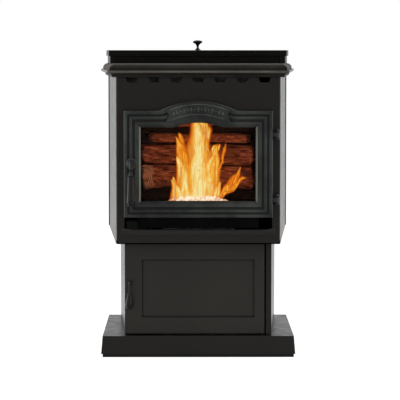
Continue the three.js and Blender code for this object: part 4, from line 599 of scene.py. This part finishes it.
def tube_faces(rows, columns):
    """Faces of a tube of rows of points, each row a ring of that many columns, its ends shut."""
    faces = []
    for row in range(rows - 1):
        for column in range(columns):
            a = row * columns + column
            b = row * columns + (column + 1) % columns
            faces.append((a, b, b + columns, a + columns))
    last = (rows - 1) * columns
    faces.append(tuple(reversed(range(columns))))
    faces.append(tuple(range(last, last + columns)))
    return faces


def sheet_faces(rows, columns):
    """Faces of two pages of rows of points, shut round the rim."""
    page = rows * columns
    faces = []
    for row in range(rows - 1):
        for column in range(columns - 1):
            a = row * columns + column
            front = (a, a + 1, a + columns + 1, a + columns)
            faces += [front, tuple(page + index for index in reversed(front))]
    rim = list(range(columns))
    rim += [row * columns + columns - 1 for row in range(1, rows)]
    rim += [(rows - 1) * columns + column for column in reversed(range(columns - 1))]
    rim += [row * columns for row in reversed(range(1, rows - 1))]
    faces += [(b, a, a + page, b + page) for a, b in zip(rim, rim[1:] + rim[:1])]
    return faces


def circle(radius, height, sides):
    """Points round the Z axis, given in millimetres."""
    angles = [math.tau * side / sides for side in range(sides)]
    return [Vector((radius * math.cos(a), radius * math.sin(a), height)) * MM for a in angles]


def lathe(profile, matrix, sides=40, hollow=False):
    """A turned solid round the matrix's Z axis, from (radius, height) points in millimetres."""
    vertices = []
    for radius, height in profile:
        vertices += [matrix @ point for point in circle(radius, height, sides)]
    faces = tube_faces(len(profile), sides)
    if hollow:
        last = (len(profile) - 1) * sides
        faces = faces[:-2]
        for side in range(sides):
            after = (side + 1) % sides
            faces.append((last + side, last + after, after, side))
    return vertices, faces


def swept(path, radii, sides=20):
    """A round bar along points in millimetres."""
    vertices = []
    points = [Vector(point) * MM for point in path]
    for index, (point, radius) in enumerate(zip(points, radii)):
        along = points[min(index + 1, len(points) - 1)] - points[max(index - 1, 0)]
        turn = along.to_track_quat("Z", "X")
        vertices += [point + turn @ rim for rim in circle(radius, 0, sides)]
    return vertices, tube_faces(len(points), sides)


def slab(outline, low, high, matrix, bevel=0.4):
    """A plate of a convex outline in millimetres, with bevelled edges."""
    middle = sum((Vector(point) for point in outline), Vector((0, 0))) / len(outline)
    vertices = []
    for inset, height in ((bevel, low), (0, low + bevel), (0, high - bevel), (bevel, high)):
        for point in outline:
            arm = Vector(point) - middle
            place = middle + arm * max(0.0, 1 - inset / max(arm.length, 0.001))
            vertices.append(matrix @ (Vector((place.x, place.y, height)) * MM))
    return vertices, tube_faces(4, len(outline))


def joined(*shapes):
    """Several (vertices, faces) shapes as one."""
    vertices, faces = [], []
    for points, polygons in shapes:
        first = len(vertices)
        vertices += points
        faces += [tuple(first + index for index in polygon) for polygon in polygons]
    return vertices, faces


def smoothstep(low, high, value):
    """0 at low, 1 at high and a smooth rise between them, for a number or an array."""
    t = np.clip((value - low) / (high - low), 0, 1)
    return t * t * (3 - 2 * t)


# ---- Turned pieces that stand for the faceted ones, and the mantel's bead ----

BACKWARDS = Matrix.Rotation(math.radians(-90), 4, "X")  # turns up into away from the viewer
FORWARDS = Matrix.Rotation(math.radians(90), 4, "X")
SHARP = math.radians(38)  # edges that turn by more than this are shaded sharp


def at(x, y, z, turn=None):
    """A place given in millimetres, with a turn."""
    return Matrix.Translation(Vector((x, y, z)) * MM) @ (turn or Matrix())


def show(name, shape, finish, body, slot, *nodes):
    """Adds a piece from (vertices, faces), smooth over its curves and sharp at its corners."""
    piece = add_piece(name, mesh_of(name, *shape), finish, body)
    piece.data.set_sharp_from_angle(angle=SHARP)
    if nodes:
        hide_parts(*nodes)


GRIP_X, GRIP_Y = -180, -340.75
MAIN_GRIP = [
    (0, 0), (7.0, 0), (7.6, -0.5), (8.8, -1.4), (9.1, -3), (9.1, -8), (9.4, -18), (9.8, -30),
    (10.4, -44), (10.9, -55), (11.4, -63), (11.5, -68), (11.3, -71.4), (10.4, -73.4),
    (9.2, -74.2), (9.1, -75.2), (9.5, -75.8), (10.2, -76.3), (10.3, -77.6), (9.8, -79.2),
    (8.4, -80.5), (6, -81), (0, -81)]
MAIN_HUB = [
    (0, -12.6), (2.6, -12.5), (5, -12), (7.6, -10.9), (9.5, -9.2), (10.4, -7), (10.5, -4.6),
    (9.8, -2.4), (8.6, -1.2), (8, -0.3), (0, -0.3)]
MAIN_COLLAR = [
    (0, 13.5), (3.2, 13.5), (4.6, 12.9), (5.4, 11.8), (5.2, 10.6), (4.9, 9.8), (5.2, 7.6),
    (6.4, 5), (8.3, 3.1), (9.2, 2.2), (9.4, 1.2), (9.2, 0.3), (3.5, 0.3), (3.5, -26), (0, -26)]
LOWER_GRIP = [
    (0, 0), (4.4, 0), (5, -0.5), (5.5, -3), (6, -6), (7, -11.6), (8.1, -18), (9.3, -24.5),
    (10.1, -29.5), (10.5, -33), (10.3, -35.4), (9.4, -36.7), (8.2, -37.5), (8.1, -38.4),
    (8.3, -39.4), (8.2, -41.2), (7.4, -42.8), (5.6, -43.9), (3, -44.1), (0, -44.1)]
KNOB = [
    (0, -3), (3, -3), (3, 0), (8, 0), (8.5, 0.5), (8.2, 1.5), (6.4, 2.8), (4.4, 4.2), (3.5, 6),
    (3.2, 8.4), (3.3, 11), (4, 13.6), (6, 16.8), (8.6, 18.6), (11.5, 20.2), (13.4, 21.7),
    (14, 23.1), (13.6, 24.6), (11.8, 26), (9, 27.2), (5, 28.1), (2, 28.4), (0, 28.4)]
PIN = [
    (0, -2), (2.6, -2), (3, -1.5), (3, 17.6), (6.2, 17.6), (6.8, 18.2), (6.8, 19.1), (5.6, 19.8),
    (5, 20.4), (5.4, 21.2), (6.3, 22), (6.6, 23.2), (6.2, 24.7), (5.1, 26), (3.6, 27),
    (1.8, 27.8), (0, 28)]
DIAL = [
    (0, -12), (2.6, -12), (3, -11.6), (3, 0), (14.4, 0), (15, 0.6), (15, 2.4), (14.2, 3.4),
    (12, 4.5), (11.6, 6), (11.1, 13), (10.6, 14.4), (9.6, 15), (0, 15)]
COLLAR = [
    (35.5, 257.55), (48, 257.55), (48, 260.55), (38, 260.55), (38, 296.85), (48, 296.85),
    (48, 299.85), (38, 299.85), (38, 336.25), (39.1, 337), (39.6, 338.25), (39.1, 339.5),
    (38, 340.25), (38, 352.25), (35.5, 352.25)]


def arc(x, radius, start, end):
    """Points round (x, 0), every 15 degrees."""
    turns = [math.radians(angle) for angle in range(start, end + 1, 15)]
    return [(x + radius * math.cos(turn), radius * math.sin(turn)) for turn in turns]


CAM = arc(0, 7, -105, 105) + arc(-10.5, 3.5, 105, 255)


def build_turned():
    iron, black = FINISHES["cast_iron"], FINISHES["gloss_black"]
    grip = at(GRIP_X, GRIP_Y, 499)
    show("handle_grip", lathe(MAIN_GRIP, grip, 56), black, "main_handle", "gloss_black",
         "door_handle_grip")
    hub = at(GRIP_X, -320.75, 532, BACKWARDS)
    neck = [(-180, -327.75, 532), (-180, -334, 531.4), (-180, -338.6, 528.6), (-180, -340.6, 523.6),
            (-180, -340.75, 517), (-180, -340.75, 510)]
    spindle = joined(
        lathe(MAIN_HUB, hub, 48), lathe([(0, -0.3), (5, -0.3), (5, 50), (0, 50)], hub),
        swept(neck, (6, 5.8, 5.4, 5.0, 4.8, 4.6)), lathe(MAIN_COLLAR, grip, 40),
        slab(CAM, 45, 50, hub))
    show("handle_spindle", spindle, iron, "main_handle", "cast_iron", "door_handle_spindle")
    lean = Vector((1, 0, 26)).to_track_quat("Z", "Y").to_matrix().to_4x4()
    lower = at(-187, -256.25, 176, lean)
    show("lower_grip", lathe(LOWER_GRIP, lower, 48), black, "pedestal_handle", "gloss_black",
         "pedestal_door_grip")
    show("knob", lathe(KNOB, at(0, 90.25, 836), 48), black, "hopper_lid", "gloss_black", "lid_knob")
    for name, base in (("lower", 421), ("upper", 597)):
        show(f"{name}_pin", lathe(PIN, at(212, -304.75, base), 40), iron, "stove", "cast_iron",
             f"{name}_hinge_pin")
    show("collar", lathe(COLLAR, at(154.3, 0, 464, BACKWARDS), 72, True), FINISHES["bright_steel"],
         "stove", "bright_steel", "flue_collar")


DIALS = (("heat", 129.25), ("feed", 185.25))  # each dial's name and y
DIAL_X, DIAL_FOOT, PANEL_FACE = 200, 800.8, 800.5
DIAL_STEPS, STEP_DEGREES = 10, 27
POINTER = [(-1.2, -13), (1.2, -13), (1.2, -2.6), (0.6, -2), (-0.6, -2), (-1.2, -2.6)]
TICK = [(-0.35, 18.5), (0.35, 18.5), (0.35, 21.5), (-0.35, 21.5)]
LONG_TICK = [(-0.45, 18), (0.45, 18), (0.45, 22.5), (-0.45, 22.5)]


def build_dials():
    """The two dials under the lid, with a raised pointer each, and the scale round them."""
    middle = DIAL_STEPS // 2
    for name, y in DIALS:
        place = at(DIAL_X, y, DIAL_FOOT)
        shape = joined(lathe(DIAL, place, 64), slab(POINTER, 3, 16.5, place))
        show(f"{name}_dial", shape, FINISHES["black_plastic"], f"{name}_knob", "black_plastic",
             f"{name}_knob")
        ticks = []
        for step in range(DIAL_STEPS + 1):
            turn = Matrix.Rotation(math.radians(STEP_DEGREES * (step - middle)), 4, "Z")
            mark = TICK if step % middle else LONG_TICK
            ticks.append(slab(mark, 0, 0.25, at(DIAL_X, y, PANEL_FACE) @ turn, 0.05))
        show(f"{name}_scale", joined(*ticks), DIAL_PAINT, "stove", None)


MANTEL_EDGE = [(-285.4, 296.5), (-242.7, -305.0), (242.7, -305.0), (285.4, 296.5)]
BEAD_INSET, BEAD_HEIGHT = 1.2, 777.35
BEAD_ACROSS, BEAD_UP = 3.6, 3.3  # half of its width and of its height
BEAD_SIDES = 16


def build_bead():
    """The rounded bead along the mantel's lip."""
    vertices = []
    for index, corner in enumerate(MANTEL_EDGE):
        here = Vector(corner)
        before = Vector(MANTEL_EDGE[max(index - 1, 0)])
        after = Vector(MANTEL_EDGE[min(index + 1, 3)])
        sides = [way.normalized() for way in (here - before, after - here) if way.length]
        across = sum((Vector((way.y, -way.x)) for way in sides), Vector((0, 0))) / len(sides)
        across = across / across.length_squared
        for step in range(BEAD_SIDES):
            angle = math.tau * step / BEAD_SIDES
            place = here + across * (-BEAD_INSET + BEAD_ACROSS * math.cos(angle))
            z = BEAD_HEIGHT + BEAD_UP * math.sin(angle)
            vertices.append(Vector((place.x, place.y, z)) * MM)
    shape = vertices, tube_faces(len(MANTEL_EDGE), BEAD_SIDES)
    show("mantel_bead", shape, BEAD_HIGHLIGHT_IRON, "stove", "cast_iron")


SEAL_Y, SEAL_Z, SEAL_RADIUS = 279, 318.1, 3.3


def build_seal():
    """The black sealing cord inside the rear cover's foot, where it stands on the floor pan."""
    path = [(x, SEAL_Y, SEAL_Z) for x in range(-250, 251, 20)]
    show("rear_seal", swept(path, [SEAL_RADIUS] * len(path), 12), SHADE_AND_SEAL_BLACK, "stove", None)


# ---- Ornament and fasteners ----

# The door's arched band: the y of its face, and the height and radius of the arch.
BAND_FACE = -318.25
BAND_CENTRE = 488.4
BAND_RADIUS = 189.0
PITCH = 19.0  # from one lozenge to the next
LOZENGE = [(0, -8.5), (5.6, 0), (0, 8.5), (-5.6, 0)]
BOSS = [(0, -5), (3.2, 0), (0, 5), (-3.2, 0)]
STUD = [(0, 2.0), (1.0, 1.9), (2.0, 1.4), (2.7, 0.5), (2.8, -0.4), (0, -0.4)]
RIB_UP, RIB_HALF, RIB_RADIUS, RIB_STEPS = 13.2, 74, 0.9, 48


def on_band(along, up):
    """A place on the band: along it from its crown, and up from its middle line, in millimetres."""
    turn = along / BAND_RADIUS
    reach = BAND_RADIUS + up
    return reach * math.sin(turn), BAND_CENTRE + reach * math.cos(turn), turn


def build_ornament():
    """A plain running pattern of lozenges and studs between two raised ribs."""
    shapes = []
    for index in range(-3, 4):
        x, z, turn = on_band(index * PITCH, 0)
        place = at(x, BAND_FACE, z) @ Matrix.Rotation(turn, 4, "Y") @ FORWARDS
        shapes += [slab(LOZENGE, -0.5, 1.5, place, 1.4), slab(BOSS, 1.2, 2.3, place, 1.0)]
    for index in range(-4, 4):
        x, z, _ = on_band((index + 0.5) * PITCH, 0)
        shapes.append(lathe(STUD, at(x, BAND_FACE, z) @ FORWARDS, 20))
    for up in (-RIB_UP, RIB_UP):
        path = []
        for step in range(RIB_STEPS + 1):
            x, z, _ = on_band(-RIB_HALF + 2 * RIB_HALF * step / RIB_STEPS, up)
            path.append((x, BAND_FACE, z))
        shapes.append(swept(path, [RIB_RADIUS] * len(path), 10))
    show("band_ornament", joined(*shapes), BAND_IRON, "main_door", "cast_iron")


SCREW = [
    (0, 1.3), (1.9, 1.3), (1.9, 2.4), (2.6, 2.4), (3.6, 2.0), (4.3, 1.1), (4.4, 0.1), (4.4, -0.5),
    (0, -0.5)]
# Each screw: the node it holds, a point clear of the stove in millimetres, and the way to look
# from there for the sheet.
SCREWS = (
    [("rear_cover", (x, 500, z), (0, -1, 0))
     for x in (-254, 254) for z in (330, 430, 540, 650, 745)]
    + [("rear_cover", (x, 500, z), (0, -1, 0)) for x in (-90, 90) for z in (322, 752)]
    + [("control_panel", (x, y, 900), (0, 0, -1)) for x in (162, 242) for y in (84, 280)]
    + [(f"{side}_side_panel", (-400 * way, 282, z), (way, 0, 0))
       for side, way in (("left", 1), ("right", -1)) for z in (345, 540, 735)]
)


def build_screws():
    """Socket screws, each set down square on the sheet it holds."""
    shapes = []
    for node, start, way in SCREWS:
        hit, place, normal, _ = frame["nodes"][node].ray_cast(Vector(start) * MM, Vector(way))
        if not hit or normal.dot(Vector(way)) > -0.7:
            continue
        turn = normal.to_track_quat("Z", "Y").to_matrix().to_4x4()
        shapes.append(lathe(SCREW, Matrix.Translation(place) @ turn, 24))
    show("casing_screws", joined(*shapes), FINISHES["cast_iron"], "stove", "cast_iron")


# ---- The log set ----

# The log set fills the log liner's room.
LOG_FRONT, LOG_BACK = -0.0752, -0.0376
LINER_HALF = 0.1605
LINER_BOTTOM, LINER_TOP = 0.4155, 0.6835
SQUARENESS = 3.2  # 2 would make a log's section round
BACKING_CHAR = 0.96
FIRE_Y = -0.149  # the middle of the burn pot

# Each log: its two ends (x, z) and its half height at each end, in metres; how much of the liner's
# depth it fills; its seed; and how many metres wide the sawn face at its left end is.
LOGS = [
    ("log_top", (-0.136, 0.592), (0.146, 0.589), 0.0125, 0.0125, 0.80, 3, 0.0),
    ("log_middle", (-0.160, 0.546), (0.160, 0.541), 0.0250, 0.0270, 1.00, 11, 0.0),
    ("log_left", (-0.160, 0.479), (-0.004, 0.487), 0.0330, 0.0250, 0.96, 23, 0.036),
    ("log_right", (0.050, 0.482), (0.160, 0.479), 0.0290, 0.0310, 0.90, 37, 0.0),
    ("log_crown", (-0.110, 0.640), (0.118, 0.642), 0.0180, 0.0170, 0.55, 43, 0.0),
]


def split_log(start, end, half_start, half_end, forward, seed, sawn):
    """One split log: a rough wedge of a trunk with fissured bark and broken cut ends."""
    rows, columns = 120, 48
    middle_y = (LOG_FRONT + LOG_BACK) / 2
    half_y = (LOG_BACK - LOG_FRONT) / 2
    vertices, cut, ring, char = [], [], [], []
    for row in range(rows):
        along = row / (rows - 1)
        x = start[0] + (end[0] - start[0]) * along
        z = start[1] + (end[1] - start[1]) * along
        half_z = half_start + (half_end - half_start) * along
        near_end = min(along, 1 - along) * abs(end[0] - start[0])
        round_off = math.sqrt(min(1.0, 0.30 + near_end / 0.012))
        for column in range(columns):
            angle = math.tau * column / columns
            c, s = math.cos(angle), math.sin(angle)
            flat = (abs(c) ** SQUARENESS + abs(s) ** SQUARENESS) ** (-1 / SQUARENESS)
            swell = noise.noise(Vector((x * 16 + seed, c * 1.3, s * 1.3)) * 0.45)
            wide = 1 + 0.16 * swell
            fissure = noise.fractal(Vector((x * 26 + seed, c * 5.5, s * 5.5)), 1.0, 2.1, 4)
            chips = noise.noise(Vector((x * 120, c * 9 + seed, s * 9)))
            rough = 1 + 0.085 * fissure + 0.035 * chips
            reach = flat * wide * rough * round_off
            skew = 0.006 * noise.noise(Vector((c * 1.7, s * 1.7, seed + along * 2)))
            y = middle_y + half_y * forward * reach * c
            y = min(max(y, LOG_FRONT), LOG_BACK)
            ends = 0.008 * (1 if along < 0.5 else -1) * (1 - smoothstep(0, 0.02, near_end))
            lean = ends * noise.noise(Vector((c * 2, s * 2, seed)))
            x_kept = min(max(x + skew + lean, -LINER_HALF), LINER_HALF)
            vertices.append((x_kept, y, z + half_z * reach * s))
            face = 1 - smoothstep(sawn - 0.004, sawn + 0.001, x - start[0]) if sawn else 0.0
            cut.append(face * (0.5 - 0.5 * c > 0.3))
            ring.append(math.hypot((x - start[0]) / 0.05, (s * half_z * 1.1) / 0.05))
            char.append(0.75 * smoothstep(0.1, -0.55, fissure))
    faces = tube_faces(rows, columns)[:-2]
    for row, sign in ((0, -1), (rows - 1, 1)):
        faces += end_cap(vertices, cut, ring, char, row * columns, columns, sign, seed)
    return vertices, faces, cut, ring, char


def end_cap(vertices, cut, ring, char, first, columns, sign, seed):
    """Closes a log's end with rings of points that hold the growth rings."""
    outer = [Vector(vertices[first + column]) for column in range(columns)]
    centre = sum(outer, Vector()) / columns
    centre.x += sign * 0.002
    centre.z += 0.004
    faces = []
    previous = list(range(first, first + columns))
    for step in range(1, 9):
        share = 1 - step / 9
        current = []
        for column in range(columns):
            point = centre.lerp(outer[column], share)
            point.x += 0.0016 * noise.noise(point * 180 + Vector((seed, 0, 0)))
            current.append(len(vertices))
            vertices.append(tuple(point))
            cut.append(1.0)
            ring.append(share)
            char.append(0.25 * smoothstep(0.2, 0.9, share))
        for column in range(columns):
            a, b = previous[column], previous[(column + 1) % columns]
            c, d = current[(column + 1) % columns], current[column]
            faces.append((a, b, c, d) if sign > 0 else (b, a, d, c))
        previous = current
    faces.append(tuple(previous) if sign > 0 else tuple(reversed(previous)))
    return faces


def backing_slab():
    """The rough cast back of the log set, between and behind the logs."""
    columns, rows = 90, 72
    vertices = []
    for rough in (True, False):
        for row in range(rows):
            z = LINER_BOTTOM + (LINER_TOP - LINER_BOTTOM) * row / (rows - 1)
            for column in range(columns):
                x = -LINER_HALF + 2 * LINER_HALF * column / (columns - 1)
                y = LOG_BACK
                if rough:
                    y -= 0.008 + 0.004 * noise.fractal(Vector((x * 30, z * 55, 4.0)), 1.0, 2.0, 4)
                vertices.append((x, y, z))
    return vertices, sheet_faces(rows, columns)


def build_logs():
    for name, *shape in LOGS:
        vertices, faces, cut, ring, char = split_log(*shape)
        mesh = mesh_of(name, vertices, faces, cut=cut, ring=ring, char=char)
        add_piece(name, mesh, FINISHES["fired_log"], "stove")
    vertices, faces = backing_slab()
    none, char = ([value] * len(vertices) for value in (0.0, BACKING_CHAR))
    mesh = mesh_of("log_backing", vertices, faces, cut=none, ring=none, char=char)
    backing = add_piece("log_backing", mesh, FINISHES["fired_log"], "stove")
    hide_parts("log_liner")


# ---- Fire ----

POT_RIM = 0.4163
POT_HALF = (0.084, 0.040)
BED_EDGE = 0.012  # how far the bed's edge lies under the pot's rim
BED_RISE = 0.027  # how far its middle rises over its edge
BED_FOOT = 0.034  # how far its underside lies under the rim
PELLETS = 340
PELLET = [(0.45, -1.0), (0.92, -0.93), (1.0, -0.7), (1.0, 0.7), (0.92, 0.93), (0.45, 1.0)]


def bed_height(x, y):
    across = min(1.0, abs(x) / POT_HALF[0])
    deep = min(1.0, abs(y - FIRE_Y) / POT_HALF[1])
    mound = (1 - across ** 2.6) * (1 - deep ** 2.6)
    lumps = 0.004 * noise.noise(Vector((x * 70, y * 70, 1.0)))
    return POT_RIM - BED_EDGE + BED_RISE * mound ** 0.6 + lumps * mound


def heat_at(x, y, rng):
    away = math.hypot(x / (POT_HALF[0] * 0.95), (y - FIRE_Y) / (POT_HALF[1] * 1.5))
    return max(0.0, min(1.0, 1.08 - 0.5 * away ** 2 + rng.uniform(-0.16, 0.12)))


def pellet(centre, turn, radius, half):
    """One pressed pellet with rounded ends, its radius and half length in millimetres."""
    matrix = Matrix.Translation(centre) @ turn.to_matrix().to_4x4()
    return lathe([(r * radius, h * half) for r, h in PELLET], matrix, 8)


def build_embers():
    """A heap of burning pellets in the pot."""
    rng = random.Random(7)
    vertices, heat = [], []
    columns, rows = 48, 24
    for row in range(rows):
        for column in range(columns):
            x = POT_HALF[0] * (2 * column / (columns - 1) - 1)
            y = FIRE_Y + POT_HALF[1] * (2 * row / (rows - 1) - 1)
            vertices.append((x, y, bed_height(x, y) - 0.003))
            heat.append(heat_at(x, y, rng) * 0.85)
    foot = POT_RIM - BED_FOOT
    vertices += [(x * 0.93, FIRE_Y + (y - FIRE_Y) * 0.9, foot) for x, y, _ in vertices]
    heat += [0.2] * (rows * columns)
    shapes = [(vertices, sheet_faces(rows, columns))]
    for _ in range(PELLETS):
        x = POT_HALF[0] * rng.uniform(-0.98, 0.98)
        y = FIRE_Y + POT_HALF[1] * rng.uniform(-0.96, 0.96)
        lift = rng.uniform(-0.001, 0.0035)
        turn = Vector((rng.uniform(-1, 1), rng.uniform(-1, 1), rng.uniform(-0.45, 0.45)))
        shapes.append(pellet(
            Vector((x, y, bed_height(x, y) + lift)), turn.to_track_quat("Z", "Y"),
            rng.uniform(2.9, 3.5), rng.uniform(4.5, 8.5)))
        warm = heat_at(x, y, rng) + rng.uniform(-0.05, 0.05)
        heat += [max(0.0, min(1.0, warm))] * len(shapes[-1][0])
    # Not called "heat": the renderer takes that name for a volume's and reads 0.
    add_piece("ember_bed", mesh_of("ember_bed", *joined(*shapes), warmth=heat), EMBERS, "stove")


# Licks of flame. Each is a line of (x, z, half width) in millimetres, foot to tip, and its heat.
LICKS = [
    ([(0, 420, 46), (0, 500, 42), (-1, 560, 35), (1, 610, 31), (-2, 676, 24)], 1.15),
    ([(14, 430, 32), (18, 530, 27), (14, 600, 19), (20, 655, 8)], 1.0),
    ([(-40, 422, 40), (-40, 480, 29), (-44, 520, 19), (-51, 547, 5)], 1.0),
    ([(-28, 490, 24), (-38, 550, 18), (-44, 582, 13), (-56, 605, 4)], 0.72),
    ([(30, 422, 30), (34, 490, 25), (40, 535, 16), (47, 578, 4)], 0.95),
    ([(40, 430, 18), (48, 500, 12), (52, 545, 8), (53, 574, 3)], 0.85),
    ([(65, 530, 3), (69, 553, 5.5), (70, 577, 2)], 0.55),
    ([(70, 436, 7), (88, 462, 12), (104, 482, 11), (116, 504, 3)], 0.62),
    ([(88, 455, 8), (108, 468, 9), (131, 485, 2)], 0.60),
    ([(-62, 422, 22), (-66, 450, 14), (-73, 480, 4)], 0.95),
    ([(52, 422, 18), (56, 452, 10), (60, 476, 3)], 0.90),
]
# The sheets that the licks are drawn on: how far behind the pot's middle, and how tall and wide.
SHEETS = [(-0.024, 0.80, 0.86), (-0.008, 0.97, 1.0), (0.008, 1.0, 1.0), (0.024, 0.86, 0.9)]
SHEET_X, SHEET_Z, SHEET_STEP = (-0.096, 0.145), (0.414, 0.672), 0.0022
FLAME_FOOT, FLAME_TALL = 0.42, 0.25
FLAME_EDGE = 0.002  # there is no flame where its body is thinner
HALF_THICK = 0.0035


def lick_at(x, z, line):
    """How far each point is from a lick's line, as a share of the lick's half width there."""
    near = np.full(x.shape, 9.0)
    line = [[value / 1000 for value in point] for point in line]
    for (x0, z0, w0), (x1, z1, w1) in zip(line, line[1:]):
        dx, dz = x1 - x0, z1 - z0
        share = np.clip(((x - x0) * dx + (z - z0) * dz) / (dx * dx + dz * dz), 0, 1)
        away = np.hypot(x - x0 - share * dx, z - z0 - share * dz)
        near = np.minimum(near, away / (w0 + (w1 - w0) * share))
    return near


def draught(x, z, seed):
    """How strongly a flame is blown aside and up at a place."""
    aside = noise.noise(Vector((x * 26, z * 13, seed)))
    aside += 0.5 * noise.noise(Vector((x * 70, z * 30, seed)))
    return aside, noise.noise(Vector((x * 46, z * 12, seed + 9.0)))


def flame_sheet(behind, tall, wide, seed):
    """One lens-like sheet of all the licks: a front and a back skin where there is flame."""
    xs, zs = (np.arange(*ends, SHEET_STEP) for ends in (SHEET_X, SHEET_Z))
    x, z = np.meshgrid(xs, zs)
    rise = (z - FLAME_FOOT) / FLAME_TALL
    warp = np.array([[draught(a, b, seed) for a in xs] for b in zs])
    bent_x = (x + (0.005 + 0.010 * rise) * warp[..., 0]) / wide
    bent_z = FLAME_FOOT + (z + 0.012 * warp[..., 1] - FLAME_FOOT) / tall
    body, heart = np.zeros(x.shape), np.zeros(x.shape)
    for line, hot in LICKS:
        near = lick_at(bent_x, bent_z, line)
        body = np.maximum(body, 1 - smoothstep(0.35, 1.05, near))
        heart = np.maximum(heart, hot * (1 - smoothstep(0.05, 1.05, near) ** 1.3))
    heart = heart * (1.06 - 0.16 * rise)
    numbers, vertices, bodies, hearts = {}, [], [], []
    shown = body > FLAME_EDGE
    for side in (-1, 1):
        for row, column in zip(*np.nonzero(shown)):
            numbers[side, row, column] = len(vertices)
            thick = HALF_THICK * math.sqrt(body[row, column])
            bend = 0.010 * noise.noise(Vector((xs[column] * 14, zs[row] * 8, seed + 4.0)))
            vertices.append((xs[column], FIRE_Y + behind + bend + side * thick, zs[row]))
            bodies.append(float(body[row, column]))
            hearts.append(float(heart[row, column]))
    faces, rim = [], {}
    for row in range(len(zs) - 1):
        for column in range(len(xs) - 1):
            corners = [(row, column), (row, column + 1), (row + 1, column + 1), (row + 1, column)]
            if not all(shown[corner] for corner in corners):
                continue
            faces.append(tuple(numbers[(-1, *corner)] for corner in corners))
            faces.append(tuple(numbers[(1, *corner)] for corner in reversed(corners)))
            for a, b in zip(corners, corners[1:] + corners[:1]):
                if (b, a) in rim:
                    del rim[b, a]
                else:
                    rim[a, b] = True
    for a, b in rim:
        faces.append(tuple(numbers[key] for key in ((-1, *b), (-1, *a), (1, *a), (1, *b))))
    return vertices, faces, bodies, hearts


def build_flames():
    shapes, body, heart = [], [], []
    for index, sheet in enumerate(SHEETS):
        vertices, faces, bodies, hearts = flame_sheet(*sheet, index * 3.7 + 1)
        shapes.append((vertices, faces))
        body += bodies
        heart += hearts
    mesh = mesh_of("flames", *joined(*shapes), body=body, heart=heart)
    flames = add_piece("flames", mesh, FLAME, "stove")
    flames.visible_shadow = False


FIRELIGHTS = [  # name, place, watts
    ("firelight_high", (0.0, -0.170, 0.570), 1.35),
    ("firelight_low", (-0.01, -0.190, 0.48), 0.55),
]
FIRELIGHT_COLOUR = (1.0, 0.56, 0.26)
FIRELIGHT_SIZE = 0.05


def light_fire():
    """Firelight on the logs and the inside of the firebox."""
    for name, place, power in FIRELIGHTS:
        lamp = add_light(name, "POINT", place, power)
        lamp.data.color = FIRELIGHT_COLOUR
        lamp.data.shadow_soft_size = FIRELIGHT_SIZE
        lamp.visible_glossy = False
        lamp.visible_transmission = False


# ---- The scene ----

set_view()
add_camera()
light_world()
lay_floor()
add_softboxes()
finish_nodes()
build_turned()
build_dials()
build_bead()
build_seal()
build_ornament()
build_screws()
build_logs()
build_embers()
build_flames()
light_fire()
